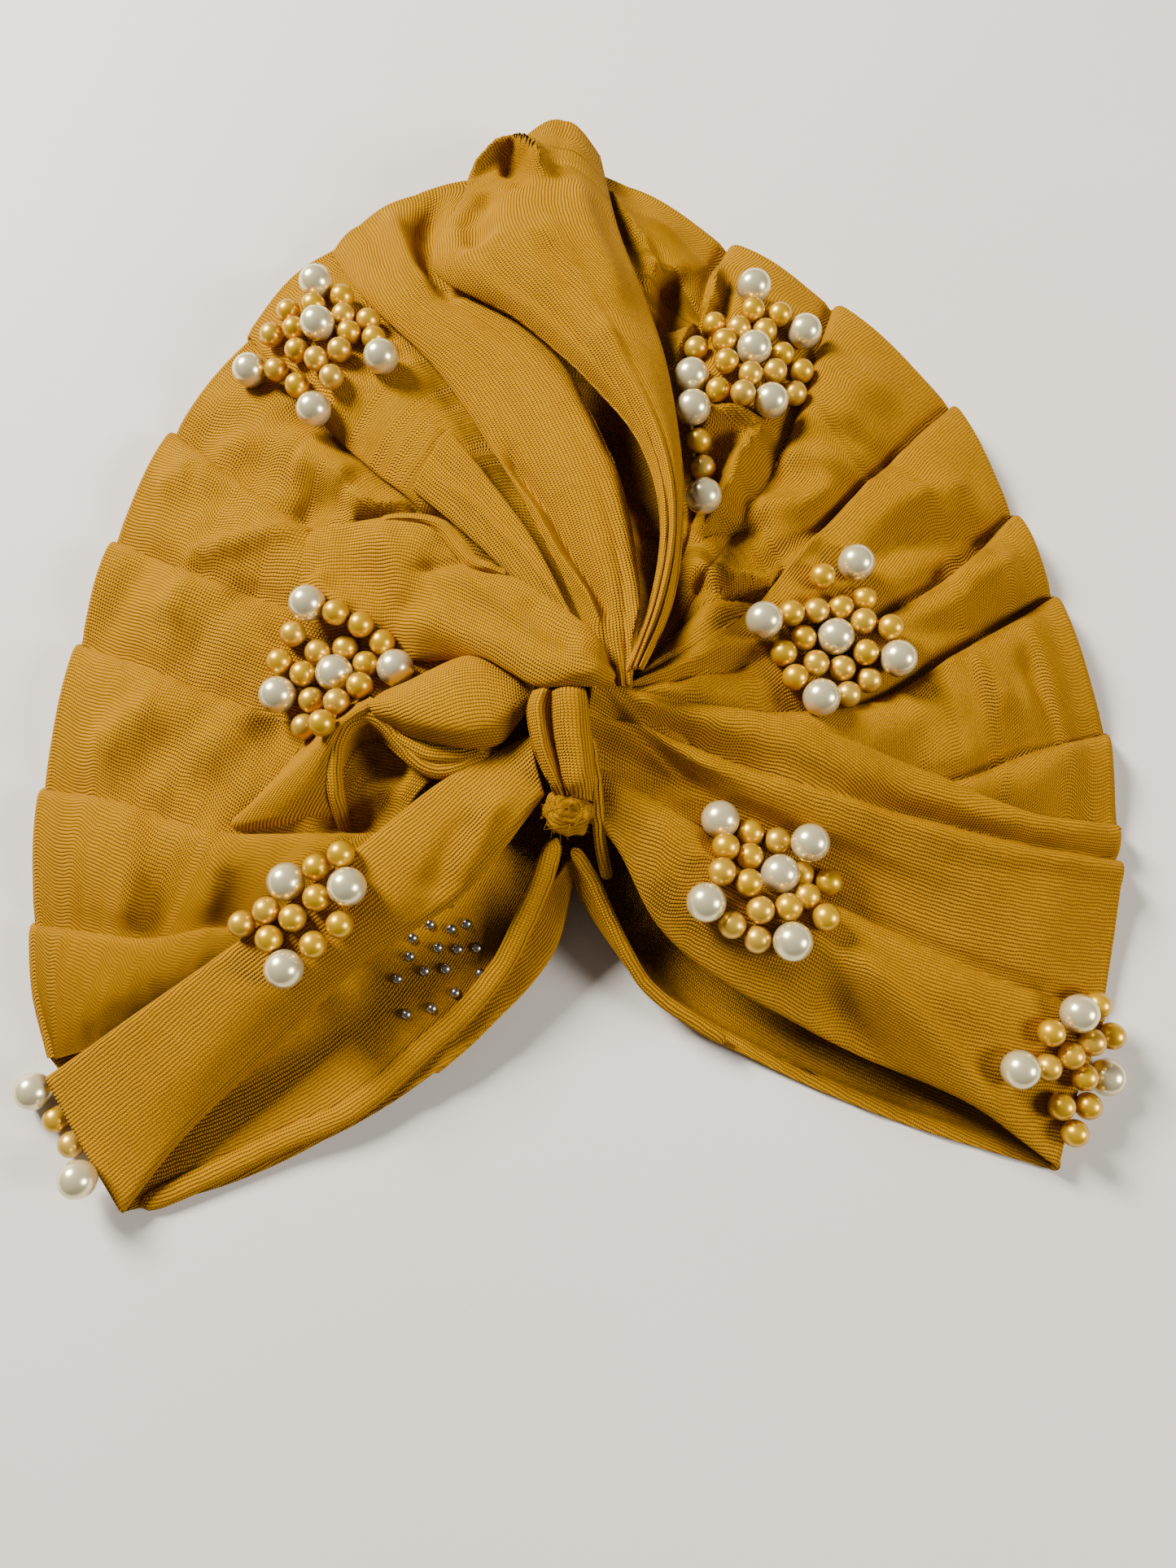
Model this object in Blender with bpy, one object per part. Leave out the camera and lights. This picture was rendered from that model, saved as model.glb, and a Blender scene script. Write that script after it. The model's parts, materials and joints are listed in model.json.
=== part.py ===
"""A turban hat of mustard stretch knit, lying on its back with the knotted front up.

The lower wall lies flat on the table and its hem is pulled up to a small knot by two rolled
straps. The upper wall is a fan of pleats on each side, two folded bands along the front, and a
drape from the crown that is twisted with the left side at the centre. Round beads and pearls sit
on the cloth in clusters. All tables are in millimetres, with X to the right, Y to the crown and
Z up from the table. Every cloth piece is a wall between fold lines.
"""

import math

import bmesh
import bpy
import numpy as np
from mathutils import Vector
from mathutils.bvhtree import BVHTree

MM = 0.001

# Cloth thicknesses, in millimetres
BACK_WALL = 1.5
KNIT_WALL = 1.8
DRAPE_WALL = 1.6
FOLDED_BAND = 2.8
WOUND_ROLL = 3.6

# Bead sizes, in millimetres
PEARL = 8.2
GOLD_BEAD = 5.85
BEAD_SEAT = 0.3
BEAD_GAP = 0.2
BEAD_SIDES = 10
BEAD_BANDS = 4
SEAT_TURNS = 16
SEAT_RINGS = (0.0, 0.3, 0.5, 0.65, 0.75, 0.83, 0.9, 0.96, 1.0)

# Settling of crowded beads: rounds, and the share of each overlap that one round takes out
SETTLE_ROUNDS = 40
SETTLE_SHARE = 0.55
ABOVE_ALL = 100

# The length over which a pleat's edge drops, at most this share of the strip before it
PLEAT_RUN = 1.3
MOST_RUN = 0.3

# The lower wall's rim lies this far inside the outline, and the wall has this many cells round
RIM_INSET = 0.6
BACK_CELLS = 30
SHARP_DEGREES = 50

# Each fold line of a cloth piece: name, step, puff of the cloth that follows it, then its points
# from the outline to the twist as x, y, z of the upper face. At a step above zero the cloth that
# follows the line lies on top, and at one below zero the cloth before it does.
LEFT_PLEATS = (
    ("centre seam", 0, 0, (-34, 155, 5), (-24, 127, 11), (-16, 94, 14), (-6, 61, 16), (0, 29, 18)),
    ("drape edge", 0, 1, (-66, 138, 4), (-55, 119, 11), (-42, 103, 14), (-25, 74, 16), (-8, 34, 18)),
    ("crown tuck", -1.4, 2, (-85, 114, 4), (-69, 92, 12), (-54, 75, 15), (-38, 60, 16), (-10, 25, 18)),
    ("first pleat", 1.4, 1, (-102, 88, 4), (-85, 73, 10), (-68, 60, 14), (-46, 49, 16), (-13, 20, 18)),
    ("second pleat", 1.4, 1, (-114, 59, 4), (-91, 47, 12), (-68, 37, 15), (-48, 28, 17), (-15, 14, 18)),
    ("third pleat", 1.4, 1, (-120, 33, 4), (-95, 22, 12), (-76, 14, 15), (-55, 8, 17), (-28, 4, 18)),
    ("fourth pleat", 1.4, 1, (-125, -2, 4), (-103, -7, 12), (-83, -14, 15), (-63, -15, 16), (-42, -14, 17)),
    ("fifth pleat", 1.4, 0, (-124, -33, 4), (-110, -35, 9), (-95, -37, 12), (-80, -35, 13), (-66, -35, 13)),
    ("side", 0, 0, (-122, -49, 4), (-112, -49, 7), (-102, -49, 9), (-92, -49, 9), (-83, -47, 9)),
    ("corner", 0, 0, (-118, -62, 4), (-115, -62, 4.3), (-111, -61, 4.6), (-107, -60, 4.8), (-103, -58, 5)),
)
RIGHT_PLEATS = (
    ("centre seam", 0, 0, (-32, 157, 5), (-22, 128, 11), (-14, 95, 14), (-4, 62, 16), (2, 30, 18)),
    ("under the drape", 0, 0, (-7, 163, 5), (-2, 127, 11), (4, 94, 13), (10, 61, 15), (8, 29, 18)),
    ("beside the drape", 0, 1, (10, 158, 5), (18, 134, 11), (20, 102, 14), (21, 62, 16), (10, 27, 18)),
    ("crown tuck", 1.4, 2, (36, 140, 4), (29, 122, 10), (26, 102, 14), (24, 58, 17), (12, 25, 19)),
    ("first pleat", 1.4, 2, (62, 123, 4), (56, 106, 11), (45, 75, 15), (29, 48, 17), (14, 23, 19)),
    ("second pleat", 1.4, 1, (90, 95, 4), (69, 73, 12), (52, 54, 16), (38, 37, 18), (15, 20, 20)),
    ("third pleat", 1.4, 1, (103, 66, 4), (83, 46, 12), (63, 33, 16), (43, 25, 18), (16, 16, 20)),
    ("fourth pleat", 1.4, 1, (111, 45, 4), (85, 28, 12), (61, 14, 16), (42, 11, 18), (17, 12, 20)),
    ("fifth pleat", 1.4, 0, (120, 11, 4), (98, 4, 12), (80, -3, 14), (56, -3, 17), (18, 6, 20)),
    ("tucked edge", 0, 0, (120.5, -14, 3.8), (98, -17, 9), (76, -12, 14), (50, -8, 17), (18, 2, 20)),
)
# The last point of the outline, where the front hem meets the right corner
RIGHT_END = (103, -77)
RIGHT_BAND = (
    ("upper edge", 0, 0, (120, -11, 6), (97, -10, 14), (71, -1, 19), (45, 8, 24), (8, 10, 30)),
    ("upper crest", 0, 0, (120, -15, 6), (96, -14, 15), (70, -7, 21.5), (44, 1, 26.5), (7, 8, 32)),
    ("sixth pleat", 1.4, 1, (120, -19, 5), (96, -17, 13.5), (71, -12, 18), (44, -6, 23), (6, 7, 29)),
    ("roll", 0, 0, (119, -25, 4.5), (98, -23, 13), (74, -22, 18), (48, -14, 23), (3, 5, 30)),
    ("valley", 0, 0, (117, -36, 4), (97, -35, 12), (76, -30, 16), (48, -18, 19), (2, 2, 26)),
    ("seventh pleat", 1.4, 1, (113, -53, 4), (80, -43, 14), (58, -33, 17), (27, -17, 22), (2, -2, 26)),
    ("belly", 0, 0, (106, -68, 4), (81, -57, 13), (55, -46, 19), (25, -29, 24), (2, -9, 27)),
    ("front hem", 0, 0, (100, -85, 4), (79, -71, 9), (47, -57, 14), (15, -36, 20), (3, -16, 26)),
)
LEFT_BAND = (
    (
        "upper edge", 0, 0,
        (-116, -66, 5.2), (-92, -51, 14), (-70, -36, 18.5), (-49, -20, 22), (-30, -5, 25),
        (-12, 4, 27.5),
    ),
    (
        "crown line", 0, 0,
        (-107, -80, 5.6), (-88, -66, 13), (-67, -48, 18), (-46, -33, 22), (-27, -17, 25.5),
        (-11, -2, 28),
    ),
    (
        "lower edge", 0, 0,
        (-98, -94, 5), (-87, -80, 8.5), (-66, -60, 13), (-49, -44, 17), (-25, -28, 22.5),
        (-9, -9, 26.5),
    ),
)
UNDER_DRAPE = (
    (
        "left edge", 0, 1,
        (-65, 136, 6.4), (-54, 117, 14), (-36, 96, 18), (-19, 67, 22), (-6, 40, 27), (4, 14, 32),
    ),
    (
        "left fold", 0, 1,
        (-58, 144, 7), (-44, 117, 16), (-25, 96, 20), (-10, 65, 25), (0, 40, 29), (6, 13, 32.5),
    ),
    (
        "valley", 0, 1,
        (-46, 151, 8), (-37, 120, 14.5), (-16, 98, 21), (0, 68, 27), (7, 39, 30), (8, 13, 32.8),
    ),
    ("gap edge", 0, 0, (-34, 156, 8), (-30, 126, 14), (-6, 96, 20), (8, 60, 26), (11, 34, 30), (9, 13, 33)),
)
DRAPE_STRIP = (
    ("left edge", 0, 0.5, (-40, 64, 19.6), (-29, 54, 20.6), (-17, 41, 24), (-7, 28, 28), (1, 16, 32)),
    ("middle", 0, 0.5, (-36, 72, 20.2), (-25, 60, 21.6), (-14, 45, 25), (-5, 29, 29), (2, 16, 32.4)),
    ("right edge", 0, 0, (-32, 79, 20.2), (-22, 65, 22), (-12, 49, 26), (-4, 31, 30), (3, 16, 32.8)),
)
OVER_DRAPE = (
    (
        "left edge", 0, 1,
        (-27, 155, 12.4), (-37, 123, 17.2), (-17, 106, 22.2), (-3, 91, 25), (11, 71, 29),
        (15.5, 50, 33.5), (13, 30, 36), (8, 15, 37.5),
    ),
    (
        "left fold", 0, 1.5,
        (-17, 160, 16), (-26, 124, 23), (-8, 103, 27), (4, 87, 30), (14, 68, 32), (17, 49, 35),
        (14, 29, 37), (9, 15, 38.2),
    ),
    (
        "crest", 0, 1,
        (-6, 168, 15), (-6, 126, 26), (4, 104, 29), (11, 86, 31), (17, 67, 33), (18.5, 48, 35.4),
        (15, 28, 37.3), (10, 15, 38.6),
    ),
    (
        "right edge", 0, 0,
        (3, 162, 10), (8, 131, 18), (14, 110, 22), (18, 92, 25), (20.5, 70, 28), (20, 48, 32),
        (16.5, 27, 35.5), (11, 15, 38.4),
    ),
)
TWIST_WRAP = (
    (
        "upper edge", 0, 0,
        (-66, 54, 19), (-49, 56, 20.5), (-36, 52, 24), (-26, 43, 28), (-16, 32, 32.5), (-6, 19, 36),
        (3, 8, 39),
    ),
    (
        "upper crest", 0, 0,
        (-67, 47, 20), (-49, 46, 23), (-34, 42, 28), (-23, 34, 34), (-12, 25, 38), (-3, 15, 41),
        (4, 7, 42),
    ),
    (
        "lower crest", 0, 0,
        (-63, 37, 20.5), (-49, 34, 23), (-34, 29, 28), (-22, 25, 34), (-12, 18, 39), (-3, 11, 42),
        (4, 6, 42.4),
    ),
    (
        "lower edge", 0, 0,
        (-55, 27, 20.5), (-40, 24, 24), (-28, 22, 29), (-19, 17, 33.5), (-11, 12, 37.5), (-3, 8, 40.5),
        (4, 5, 41.6),
    ),
)
TWIST_ROLL = (
    ("upper edge", 0, 0, (-45, 13, 22.8), (-34, 19, 23.6), (-25, 19, 25), (-18, 15, 27.2), (-12, 11, 29)),
    ("crest", 0, 0, (-45, 11, 24), (-33, 11, 29), (-23, 11, 31.5), (-17, 10, 32.2), (-11, 9, 31.6)),
    ("lower edge", 0, 0, (-44, 9, 22.8), (-32, 4, 25.2), (-21, 3, 28.8), (-16, 5.5, 30.4), (-12, 7, 31.2)),
)
SIDE_FOLD = (
    (
        "outer slope", 0, 0,
        (-69, -9, 19.8), (-60, 1, 21.6), (-52, 8.5, 23.4), (-46, 5.5, 24.6), (-40, 2, 25),
        (-34, -1, 25.4),
    ),
    (
        "ridge", 0, 0,
        (-62, -10, 21), (-56, -2.5, 24.5), (-50, 4.5, 26.6), (-45.5, 2, 27), (-40.5, -1, 26.8),
        (-35, -3.6, 26),
    ),
    (
        "inner slope", 0, 0,
        (-56, -11, 20), (-52.5, -6, 22.5), (-49, -0.5, 24.6), (-45.5, -2, 25.4), (-41, -4, 25.4),
        (-36, -6.2, 25),
    ),
)
FRONT_TONGUE = (
    (
        "left edge", 0, 0,
        (-9.5, 11, 35), (-10.2, 5, 34), (-10.2, 0, 32.8), (-8.8, -5, 31.6), (-6.6, -7.6, 31),
    ),
    ("ridge", 0, 0, (-5, 11.5, 37), (-5, 5, 37.2), (-4.6, -1, 35.5), (-4, -5, 34), (-3.6, -8.2, 32)),
    ("right edge", 0, 0, (0, 11, 38.4), (1, 5, 36.8), (1.4, -1, 34.4), (1, -6, 32), (-0.6, -8.6, 31)),
)

# The outline between the drape's left edge and the right pleats
CROWN_TOP = ((-50, 148), (-34, 155))

# The lower wall, from the left corner round the notch to the right corner: the hem's edge, the
# bulge of cloth below it and the line where it meets the table.
BACK_HEM = (
    (-99, -94, 0), (-76, -88, 0), (-50, -75, 1), (-28, -56, 6), (-12, -33, 12), (-6.5, -23.5, 15.5),
    (-3.5, -20.5, 17), (-0.5, -23.5, 15.5), (5, -34, 12), (15, -49, 5.5), (40, -64, 0.8), (66, -75, 0),
    (100, -85.5, 0),
)
BACK_BULGE = (
    (-98, -92, 0), (-75, -85, 0), (-48, -74, 0.2), (-22.5, -55, 2.6), (-7, -36, 6), (-4.6, -27, 9),
    (-3.4, -23, 10), (-1.6, -26, 9), (4, -34, 6), (15, -47, 2.4), (40, -61, 0.2), (66, -72, 0),
    (99, -83, 0),
)
BACK_FOOT = (
    (-96, -86, 0), (-73, -78, 0), (-47, -62, 0), (-30, -40, 0), (-18, -17, 0), (-11, -5, 0),
    (-3.5, 0, 0), (4, -5, 0), (11, -17, 0), (22, -38, 0), (42, -53, 0), (66, -65, 0), (97, -77, 0),
)

# Rolled hem straps from the knot: name, half width, half height, then centre points x, y, z
HEM_STRAPS = (
    (
        "left_hem_strap",
        2.5,
        1.3,
        (
            (-5.2, -15.4, 21.7), (-8, -24, 18.4), (-14, -37, 13.6), (-23, -50, 10), (-36, -62, 7),
            (-50, -73, 4.4),
        ),
    ),
    (
        "right_hem_strap",
        1.6,
        1.2,
        ((-0.9, -15.4, 22), (1, -26, 17), (5, -34, 13.8), (12, -46, 8.8), (23, -54.5, 6.6)),
    ),
)
STRAP_SIDES = 8
STRAP_CELLS = 14

# The knot: centre, size along each axis, and the depth and waves of its lumps
KNOT_AT = (-4, -12.4, 26.4)
KNOT_SIZE = (9, 8.4, 8)
KNOT_LUMPS = 0.07
KNOT_WAVES = (6, 7, 5)

# Cloth walls: name, fold lines, thickness, cells along a fold line, cells across each strip
CLOTH_WALLS = (
    ("left_pleats", LEFT_PLEATS, KNIT_WALL, 7, 2),
    ("right_pleats", RIGHT_PLEATS, KNIT_WALL, 7, 2),
    ("right_band", RIGHT_BAND, KNIT_WALL, 8, 1),
    ("left_band", LEFT_BAND, FOLDED_BAND, 10, 1),
    ("under_drape", UNDER_DRAPE, DRAPE_WALL, 9, 2),
    ("drape_strip", DRAPE_STRIP, DRAPE_WALL, 6, 1),
    ("over_drape", OVER_DRAPE, DRAPE_WALL, 12, 2),
    ("twist_wrap", TWIST_WRAP, DRAPE_WALL, 10, 2),
    ("twist_roll", TWIST_ROLL, WOUND_ROLL, 8, 2),
    ("side_fold", SIDE_FOLD, DRAPE_WALL, 8, 1),
    ("front_tongue", FRONT_TONGUE, FOLDED_BAND, 6, 2),
)

# Bead clusters: name, pearls as x, y, then gold beads as x, y
CLUSTERS = (
    (
        "crown_left",
        ((-65.5, 120), (-63.5, 107), (-81, 99), (-48, 96.5), (-64, 85.5)),
        (
            (-59, 116), (-72, 113), (-65.5, 113.5), (-58, 110.5), (-53, 109.5), (-76, 107.5), (-70, 107.5),
            (-56.5, 105), (-50.5, 103.5), (-69, 101.5), (-74.5, 98),
            (-58, 99), (-63.5, 97.5), (-68.5, 92.5), (-59.5, 92),
        ),
    ),
    (
        "crown_right",
        ((39.5, 117), (51, 107), (39, 100), (24, 92.5), (42, 85.5)),
        (
            (38.5, 110.5), (45, 108.5), (30, 108), (36, 106.5), (42.5, 106), (25.5, 101), (32, 101.5),
            (46, 100), (50.5, 96.5), (32, 95), (43.5, 94), (37.5, 92), (48.5, 90), (30, 88), (35.5, 86),
        ),
    ),
    (
        "side_left",
        ((-61.5, 35), (-55, 19.5), (-42, 20.5), (-67.5, 15)),
        (
            (-55, 32.5), (-49.5, 30), (-45.5, 26.5), (-65, 29), (-53.5, 26), (-59.5, 25), (-67.5, 22.5),
            (-48.5, 22), (-62, 19.5), (-49, 15.5), (-60, 13.5), (-53.5, 12), (-61.5, 8), (-56, 6.5),
        ),
    ),
    (
        "side_right",
        ((59.5, 45), (38, 30), (54.5, 27.5), (67, 23), (50, 13.5)),
        (
            (51.5, 41), (61.5, 37.5), (56, 34.5), (50, 33.5),
            (44.5, 32.5), (60.5, 31), (65.5, 29.5), (47.5, 27.5),
            (61, 24), (42.5, 23.5), (49.5, 21.5), (55.5, 21), (61.5, 18.5), (45, 18), (56.5, 15.5),
        ),
    ),
    (
        "band_left",
        ((-63, -26.5), (-49.5, -27.5), (-62.5, -44)),
        (
            (-51, -21.5), (-56.5, -23.5), (-56, -30), (-66.5, -32.5), (-61, -34),
            (-72, -35), (-65.5, -38.5), (-51, -35.5), (-56.5, -39.5),
        ),
    ),
    (
        "band_right",
        ((28, -13.5), (39, -24.5), (24, -31.5), (41, -39), (46, -18.5)),
        (
            (29, -19.5), (34.5, -16), (34, -21.5), (40, -17.5), (45, -24.5), (27.5, -25.5),
            (32.5, -27.5), (50.5, -26), (45, -30), (41, -32.5),
            (35, -33), (29.5, -36), (34.5, -38.5), (48.5, -34),
        ),
    ),
    (
        "corner_right",
        ((103.5, -53), (89.5, -64.5), (112, -66)),
        (
            (97, -57), (109.5, -51), (112, -57.5), (106.5, -59), (102, -61.5),
            (96.5, -64), (105, -66), (99.5, -72), (106.5, -72), (102.5, -77.5),
        ),
    ),
    ("corner_left", ((-119.5, -69), (-106.5, -86.8)), ((-114.4, -74.8), (-110.6, -80))),
    ("behind_drape", ((24, 83), (26, 61)), ((25.5, 76.5), (26.5, 70.5))),
)

# Colours in linear light, with roughness and metallic value
FINISHES = {
    "cloth": ((0.560, 0.275, 0.025), 0.75, 0.0),
    "pearl": ((0.860, 0.820, 0.760), 0.22, 0.0),
    "gold_bead": ((0.640, 0.380, 0.110), 0.30, 0.25),
}


def clear_scene():
    for old in list(bpy.data.objects):
        bpy.data.objects.remove(old, do_unlink=True)


def finish(name):
    """The material of one finish, made once."""
    found = bpy.data.materials.get(name)
    if found:
        return found
    colour, roughness, metallic = FINISHES[name]
    made = bpy.data.materials.new(name)
    made.use_nodes = True
    shader = made.node_tree.nodes["Principled BSDF"]
    shader.inputs["Base Color"].default_value = (*colour, 1)
    shader.inputs["Roughness"].default_value = roughness
    shader.inputs["Metallic"].default_value = metallic
    return made


def make_object(name, points, faces, material):
    """A closed mesh object from points in millimetres."""
    mesh = bpy.data.meshes.new(name)
    mesh.from_pydata([tuple(MM * float(v) for v in point) for point in points], [], faces)
    work = bmesh.new()
    work.from_mesh(mesh)
    bmesh.ops.recalc_face_normals(work, faces=work.faces)
    bmesh.ops.triangulate(work, faces=work.faces)
    work.to_mesh(mesh)
    work.free()
    mesh.shade_smooth()
    mesh.set_sharp_from_angle(angle=math.radians(SHARP_DEGREES))
    mesh.materials.append(finish(material))
    made = bpy.data.objects.new(name, mesh)
    bpy.context.scene.collection.objects.link(made)
    return made


def smooth_line(points, cells):
    """Evenly spaced points along a smooth curve through the given ones."""
    knots = np.array(points, float)
    gaps = np.linalg.norm(np.diff(knots, axis=0), axis=1)
    at = np.concatenate([[0.0], np.cumsum(gaps)]) / gaps.sum()
    slopes = np.gradient(knots, at, axis=0)
    wanted = np.linspace(0, 1, cells + 1)
    k = np.clip(np.searchsorted(at, wanted, side="right") - 1, 0, len(at) - 2)
    span = (at[k + 1] - at[k])[:, None]
    s = (wanted - at[k])[:, None] / span
    start = (2 * s**3 - 3 * s**2 + 1) * knots[k] + (s**3 - 2 * s**2 + s) * span * slopes[k]
    end = (3 * s**2 - 2 * s**3) * knots[k + 1] + (s**3 - s**2) * span * slopes[k + 1]
    return start + end


def cloth_face(folds, cells, strip):
    """The upper face between fold lines: columns of points, with a short riser at each step."""
    lines = [smooth_line(fold[3:], cells) for fold in folds]
    columns = [lines[0]]
    for i in range(len(folds) - 1):
        puff = folds[i][2]
        first = lines[i] + (0, 0, max(folds[i][1], 0))
        step = folds[i + 1][1]
        last = lines[i + 1] + (0, 0, max(-step, 0))
        if step:
            back = lines[i] - lines[i + 1]
            back[:, 2] = 0
            length = np.linalg.norm(back, axis=1, keepdims=True)
            last = last + back * np.minimum(PLEAT_RUN / length, MOST_RUN)
        for v in np.arange(1, strip + 1) / strip:
            columns.append(first + (last - first) * v + (0, 0, puff * math.sin(math.pi * v)))
        if step:
            columns.append(lines[i + 1] + (0, 0, max(step, 0)))
    return np.array(columns)


def wall_faces(columns, rows):
    """Faces of a closed wall: an upper grid, a lower grid after it, and the four edges."""
    def upper(c, r):
        return c * rows + r

    def lower(c, r):
        return columns * rows + c * rows + r

    faces = []
    for c in range(columns - 1):
        for r in range(rows - 1):
            faces.append((upper(c, r), upper(c + 1, r), upper(c + 1, r + 1), upper(c, r + 1)))
            faces.append((lower(c, r), lower(c, r + 1), lower(c + 1, r + 1), lower(c + 1, r)))
    for c in range(columns - 1):
        for r in (0, rows - 1):
            faces.append((upper(c, r), lower(c, r), lower(c + 1, r), upper(c + 1, r)))
    for r in range(rows - 1):
        for c in (0, columns - 1):
            faces.append((upper(c, r), upper(c, r + 1), lower(c, r + 1), lower(c, r)))
    return faces


def cloth_wall(name, folds, thickness, cells, strip):
    """A cloth piece: the face between its fold lines, thickened downward."""
    top = cloth_face(folds, cells, strip)
    bottom = top - (0, 0, thickness)
    points = np.concatenate([top.reshape(-1, 3), bottom.reshape(-1, 3)])
    return make_object(name, points, wall_faces(top.shape[0], top.shape[1]), "cloth")


def crown_outline():
    """The line where the lower wall meets the upper wall, from the left corner to the right one."""
    left = [fold[3][:2] for fold in reversed(LEFT_PLEATS[1:])]
    right = [fold[3][:2] for fold in RIGHT_PLEATS[1:-1]]
    band = [fold[3][:2] for fold in RIGHT_BAND[1:-1]]
    outline = np.array([*left, *CROWN_TOP, *right, *band, RIGHT_END], float)
    outward = outline / np.linalg.norm(outline, axis=1, keepdims=True)
    inset = outline - RIM_INSET * outward
    return [(x, y, 0) for x, y in inset]


def back_panel():
    """The lower wall: flat on the table, with its hem curling up towards the knot."""
    rails = (BACK_HEM, BACK_BULGE, BACK_FOOT, crown_outline())
    under = np.array([smooth_line(rail, BACK_CELLS) for rail in rails])
    under[:, :, 2] = np.maximum(under[:, :, 2], 0)
    under[2:, :, 2] = 0
    along = np.gradient(under, axis=1)
    across = np.gradient(under, axis=0)
    inward = np.cross(along, across)
    inward *= np.sign(inward[2:3, :, 2:3])
    inward /= np.linalg.norm(inward, axis=2, keepdims=True)
    inward[3] = (0, 0, 1)
    over = under + BACK_WALL * inward
    points = np.concatenate([under.reshape(-1, 3), over.reshape(-1, 3)])
    return make_object("back_panel", points, wall_faces(under.shape[0], under.shape[1]), "cloth")


def hem_strap(name, half_width, half_height, route):
    """A rolled strip of cloth along a smooth route, oval in section."""
    centres = smooth_line(route, STRAP_CELLS)
    along = np.gradient(centres, axis=0)
    along /= np.linalg.norm(along, axis=1, keepdims=True)
    sideways = np.cross(along, (0, 0, 1))
    sideways /= np.linalg.norm(sideways, axis=1, keepdims=True)
    upward = np.cross(sideways, along)
    points = []
    for k in range(len(centres)):
        for turn in np.arange(STRAP_SIDES) * 2 * math.pi / STRAP_SIDES:
            points.append(
                centres[k]
                + half_width * math.cos(turn) * sideways[k]
                + half_height * math.sin(turn) * upward[k]
            )
    faces = [tuple(range(STRAP_SIDES)), tuple(range(len(points) - STRAP_SIDES, len(points)))]
    for k in range(len(centres) - 1):
        here = k * STRAP_SIDES
        ahead = here + STRAP_SIDES
        for side in range(STRAP_SIDES):
            following = (side + 1) % STRAP_SIDES
            faces.append((here + side, here + following, ahead + following, ahead + side))
    return make_object(name, points, faces, "cloth")


def tie_knot():
    """The small knot that gathers the lower hem, as a lumpy ball."""
    work = bmesh.new()
    bmesh.ops.create_icosphere(work, subdivisions=2, radius=0.5)
    points = []
    along_x, along_y, along_z = KNOT_WAVES
    for vert in work.verts:
        x, y, z = vert.co.normalized()
        wave = math.sin(along_x * x + 2) + math.cos(along_y * y) * math.sin(along_z * z + 1)
        lump = 1 + KNOT_LUMPS * wave
        points.append([KNOT_AT[i] + KNOT_SIZE[i] * vert.co[i] * lump for i in range(3)])
    faces = [tuple(vert.index for vert in face.verts) for face in work.faces]
    work.free()
    return make_object("tie_knot", points, faces, "cloth")


def cloth_tree(objects):
    """A search tree over the cloth, in millimetres."""
    points = []
    faces = []
    for piece in objects:
        start = len(points)
        points += [Vector(vert.co) / MM for vert in piece.data.vertices]
        faces += [tuple(start + v for v in face.vertices) for face in piece.data.polygons]
    return BVHTree.FromPolygons(points, faces)


def rest_height(tree, x, y, radius):
    """The lowest height at which a ball's centre clears the cloth below it and the table."""
    height = radius
    for ring in SEAT_RINGS:
        for turn in range(SEAT_TURNS if ring else 1):
            angle = turn * 2 * math.pi / SEAT_TURNS
            dx = ring * radius * math.cos(angle)
            dy = ring * radius * math.sin(angle)
            hit = tree.ray_cast(Vector((x + dx, y + dy, ABOVE_ALL)), Vector((0, 0, -1)))[0]
            if hit:
                height = max(height, hit.z + radius * math.sqrt(1 - ring**2))
    return height + BEAD_SEAT


def settle(balls, tree):
    """Pushes crowded balls apart on the cloth. Each ball is [x, y, z, radius]."""
    for _ in range(SETTLE_ROUNDS):
        for ball in balls:
            ball[2] = rest_height(tree, ball[0], ball[1], ball[3])
        for i in range(len(balls)):
            for j in range(i):
                a, b = np.array(balls[i][:3]), np.array(balls[j][:3])
                short = balls[i][3] + balls[j][3] + BEAD_GAP - np.linalg.norm(a - b)
                if short > 0:
                    way = (a - b)[:2] / max(np.linalg.norm((a - b)[:2]), 0.1)
                    push = SETTLE_SHARE * short * way
                    balls[i][0] += push[0]
                    balls[i][1] += push[1]
                    balls[j][0] -= push[0]
                    balls[j][1] -= push[1]
    for ball in balls:
        ball[2] = rest_height(tree, ball[0], ball[1], ball[3])


def ball_mesh(centre, radius):
    """A ball's points and faces. Its quads are keyed by band and side."""
    points = [(0, 0, -1)]
    for band in range(1, BEAD_BANDS):
        tilt = math.pi * band / BEAD_BANDS - math.pi / 2
        for side in range(BEAD_SIDES):
            turn = 2 * math.pi * side / BEAD_SIDES
            level = math.cos(tilt)
            points.append((level * math.cos(turn), level * math.sin(turn), math.sin(tilt)))
    points.append((0, 0, 1))
    points = [tuple(centre[i] + radius * point[i] for i in range(3)) for point in points]
    caps = []
    quads = {}
    top = len(points) - 1
    for side in range(BEAD_SIDES):
        following = (side + 1) % BEAD_SIDES
        caps.append((0, 1 + following, 1 + side))
        caps.append((top, top - BEAD_SIDES + side, top - BEAD_SIDES + following))
        for band in range(BEAD_BANDS - 2):
            low = 1 + band * BEAD_SIDES
            high = low + BEAD_SIDES
            quads[(band, side)] = (low + side, low + following, high + following, high + side)
    return points, caps, quads


def pearl(name, ball):
    points, caps, quads = ball_mesh(ball[:3], ball[3])
    return make_object(name, points, caps + list(quads.values()), "pearl")


def nearest_pairs(balls):
    """Pairs that join all the balls by the shortest links."""
    joined = [0]
    pairs = []
    while len(joined) < len(balls):
        best = min(
            (math.dist(balls[i][:3], balls[j][:3]), i, j)
            for i in joined
            for j in range(len(balls))
            if j not in joined
        )
        pairs.append(best[1:])
        joined.append(best[2])
    return pairs


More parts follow.
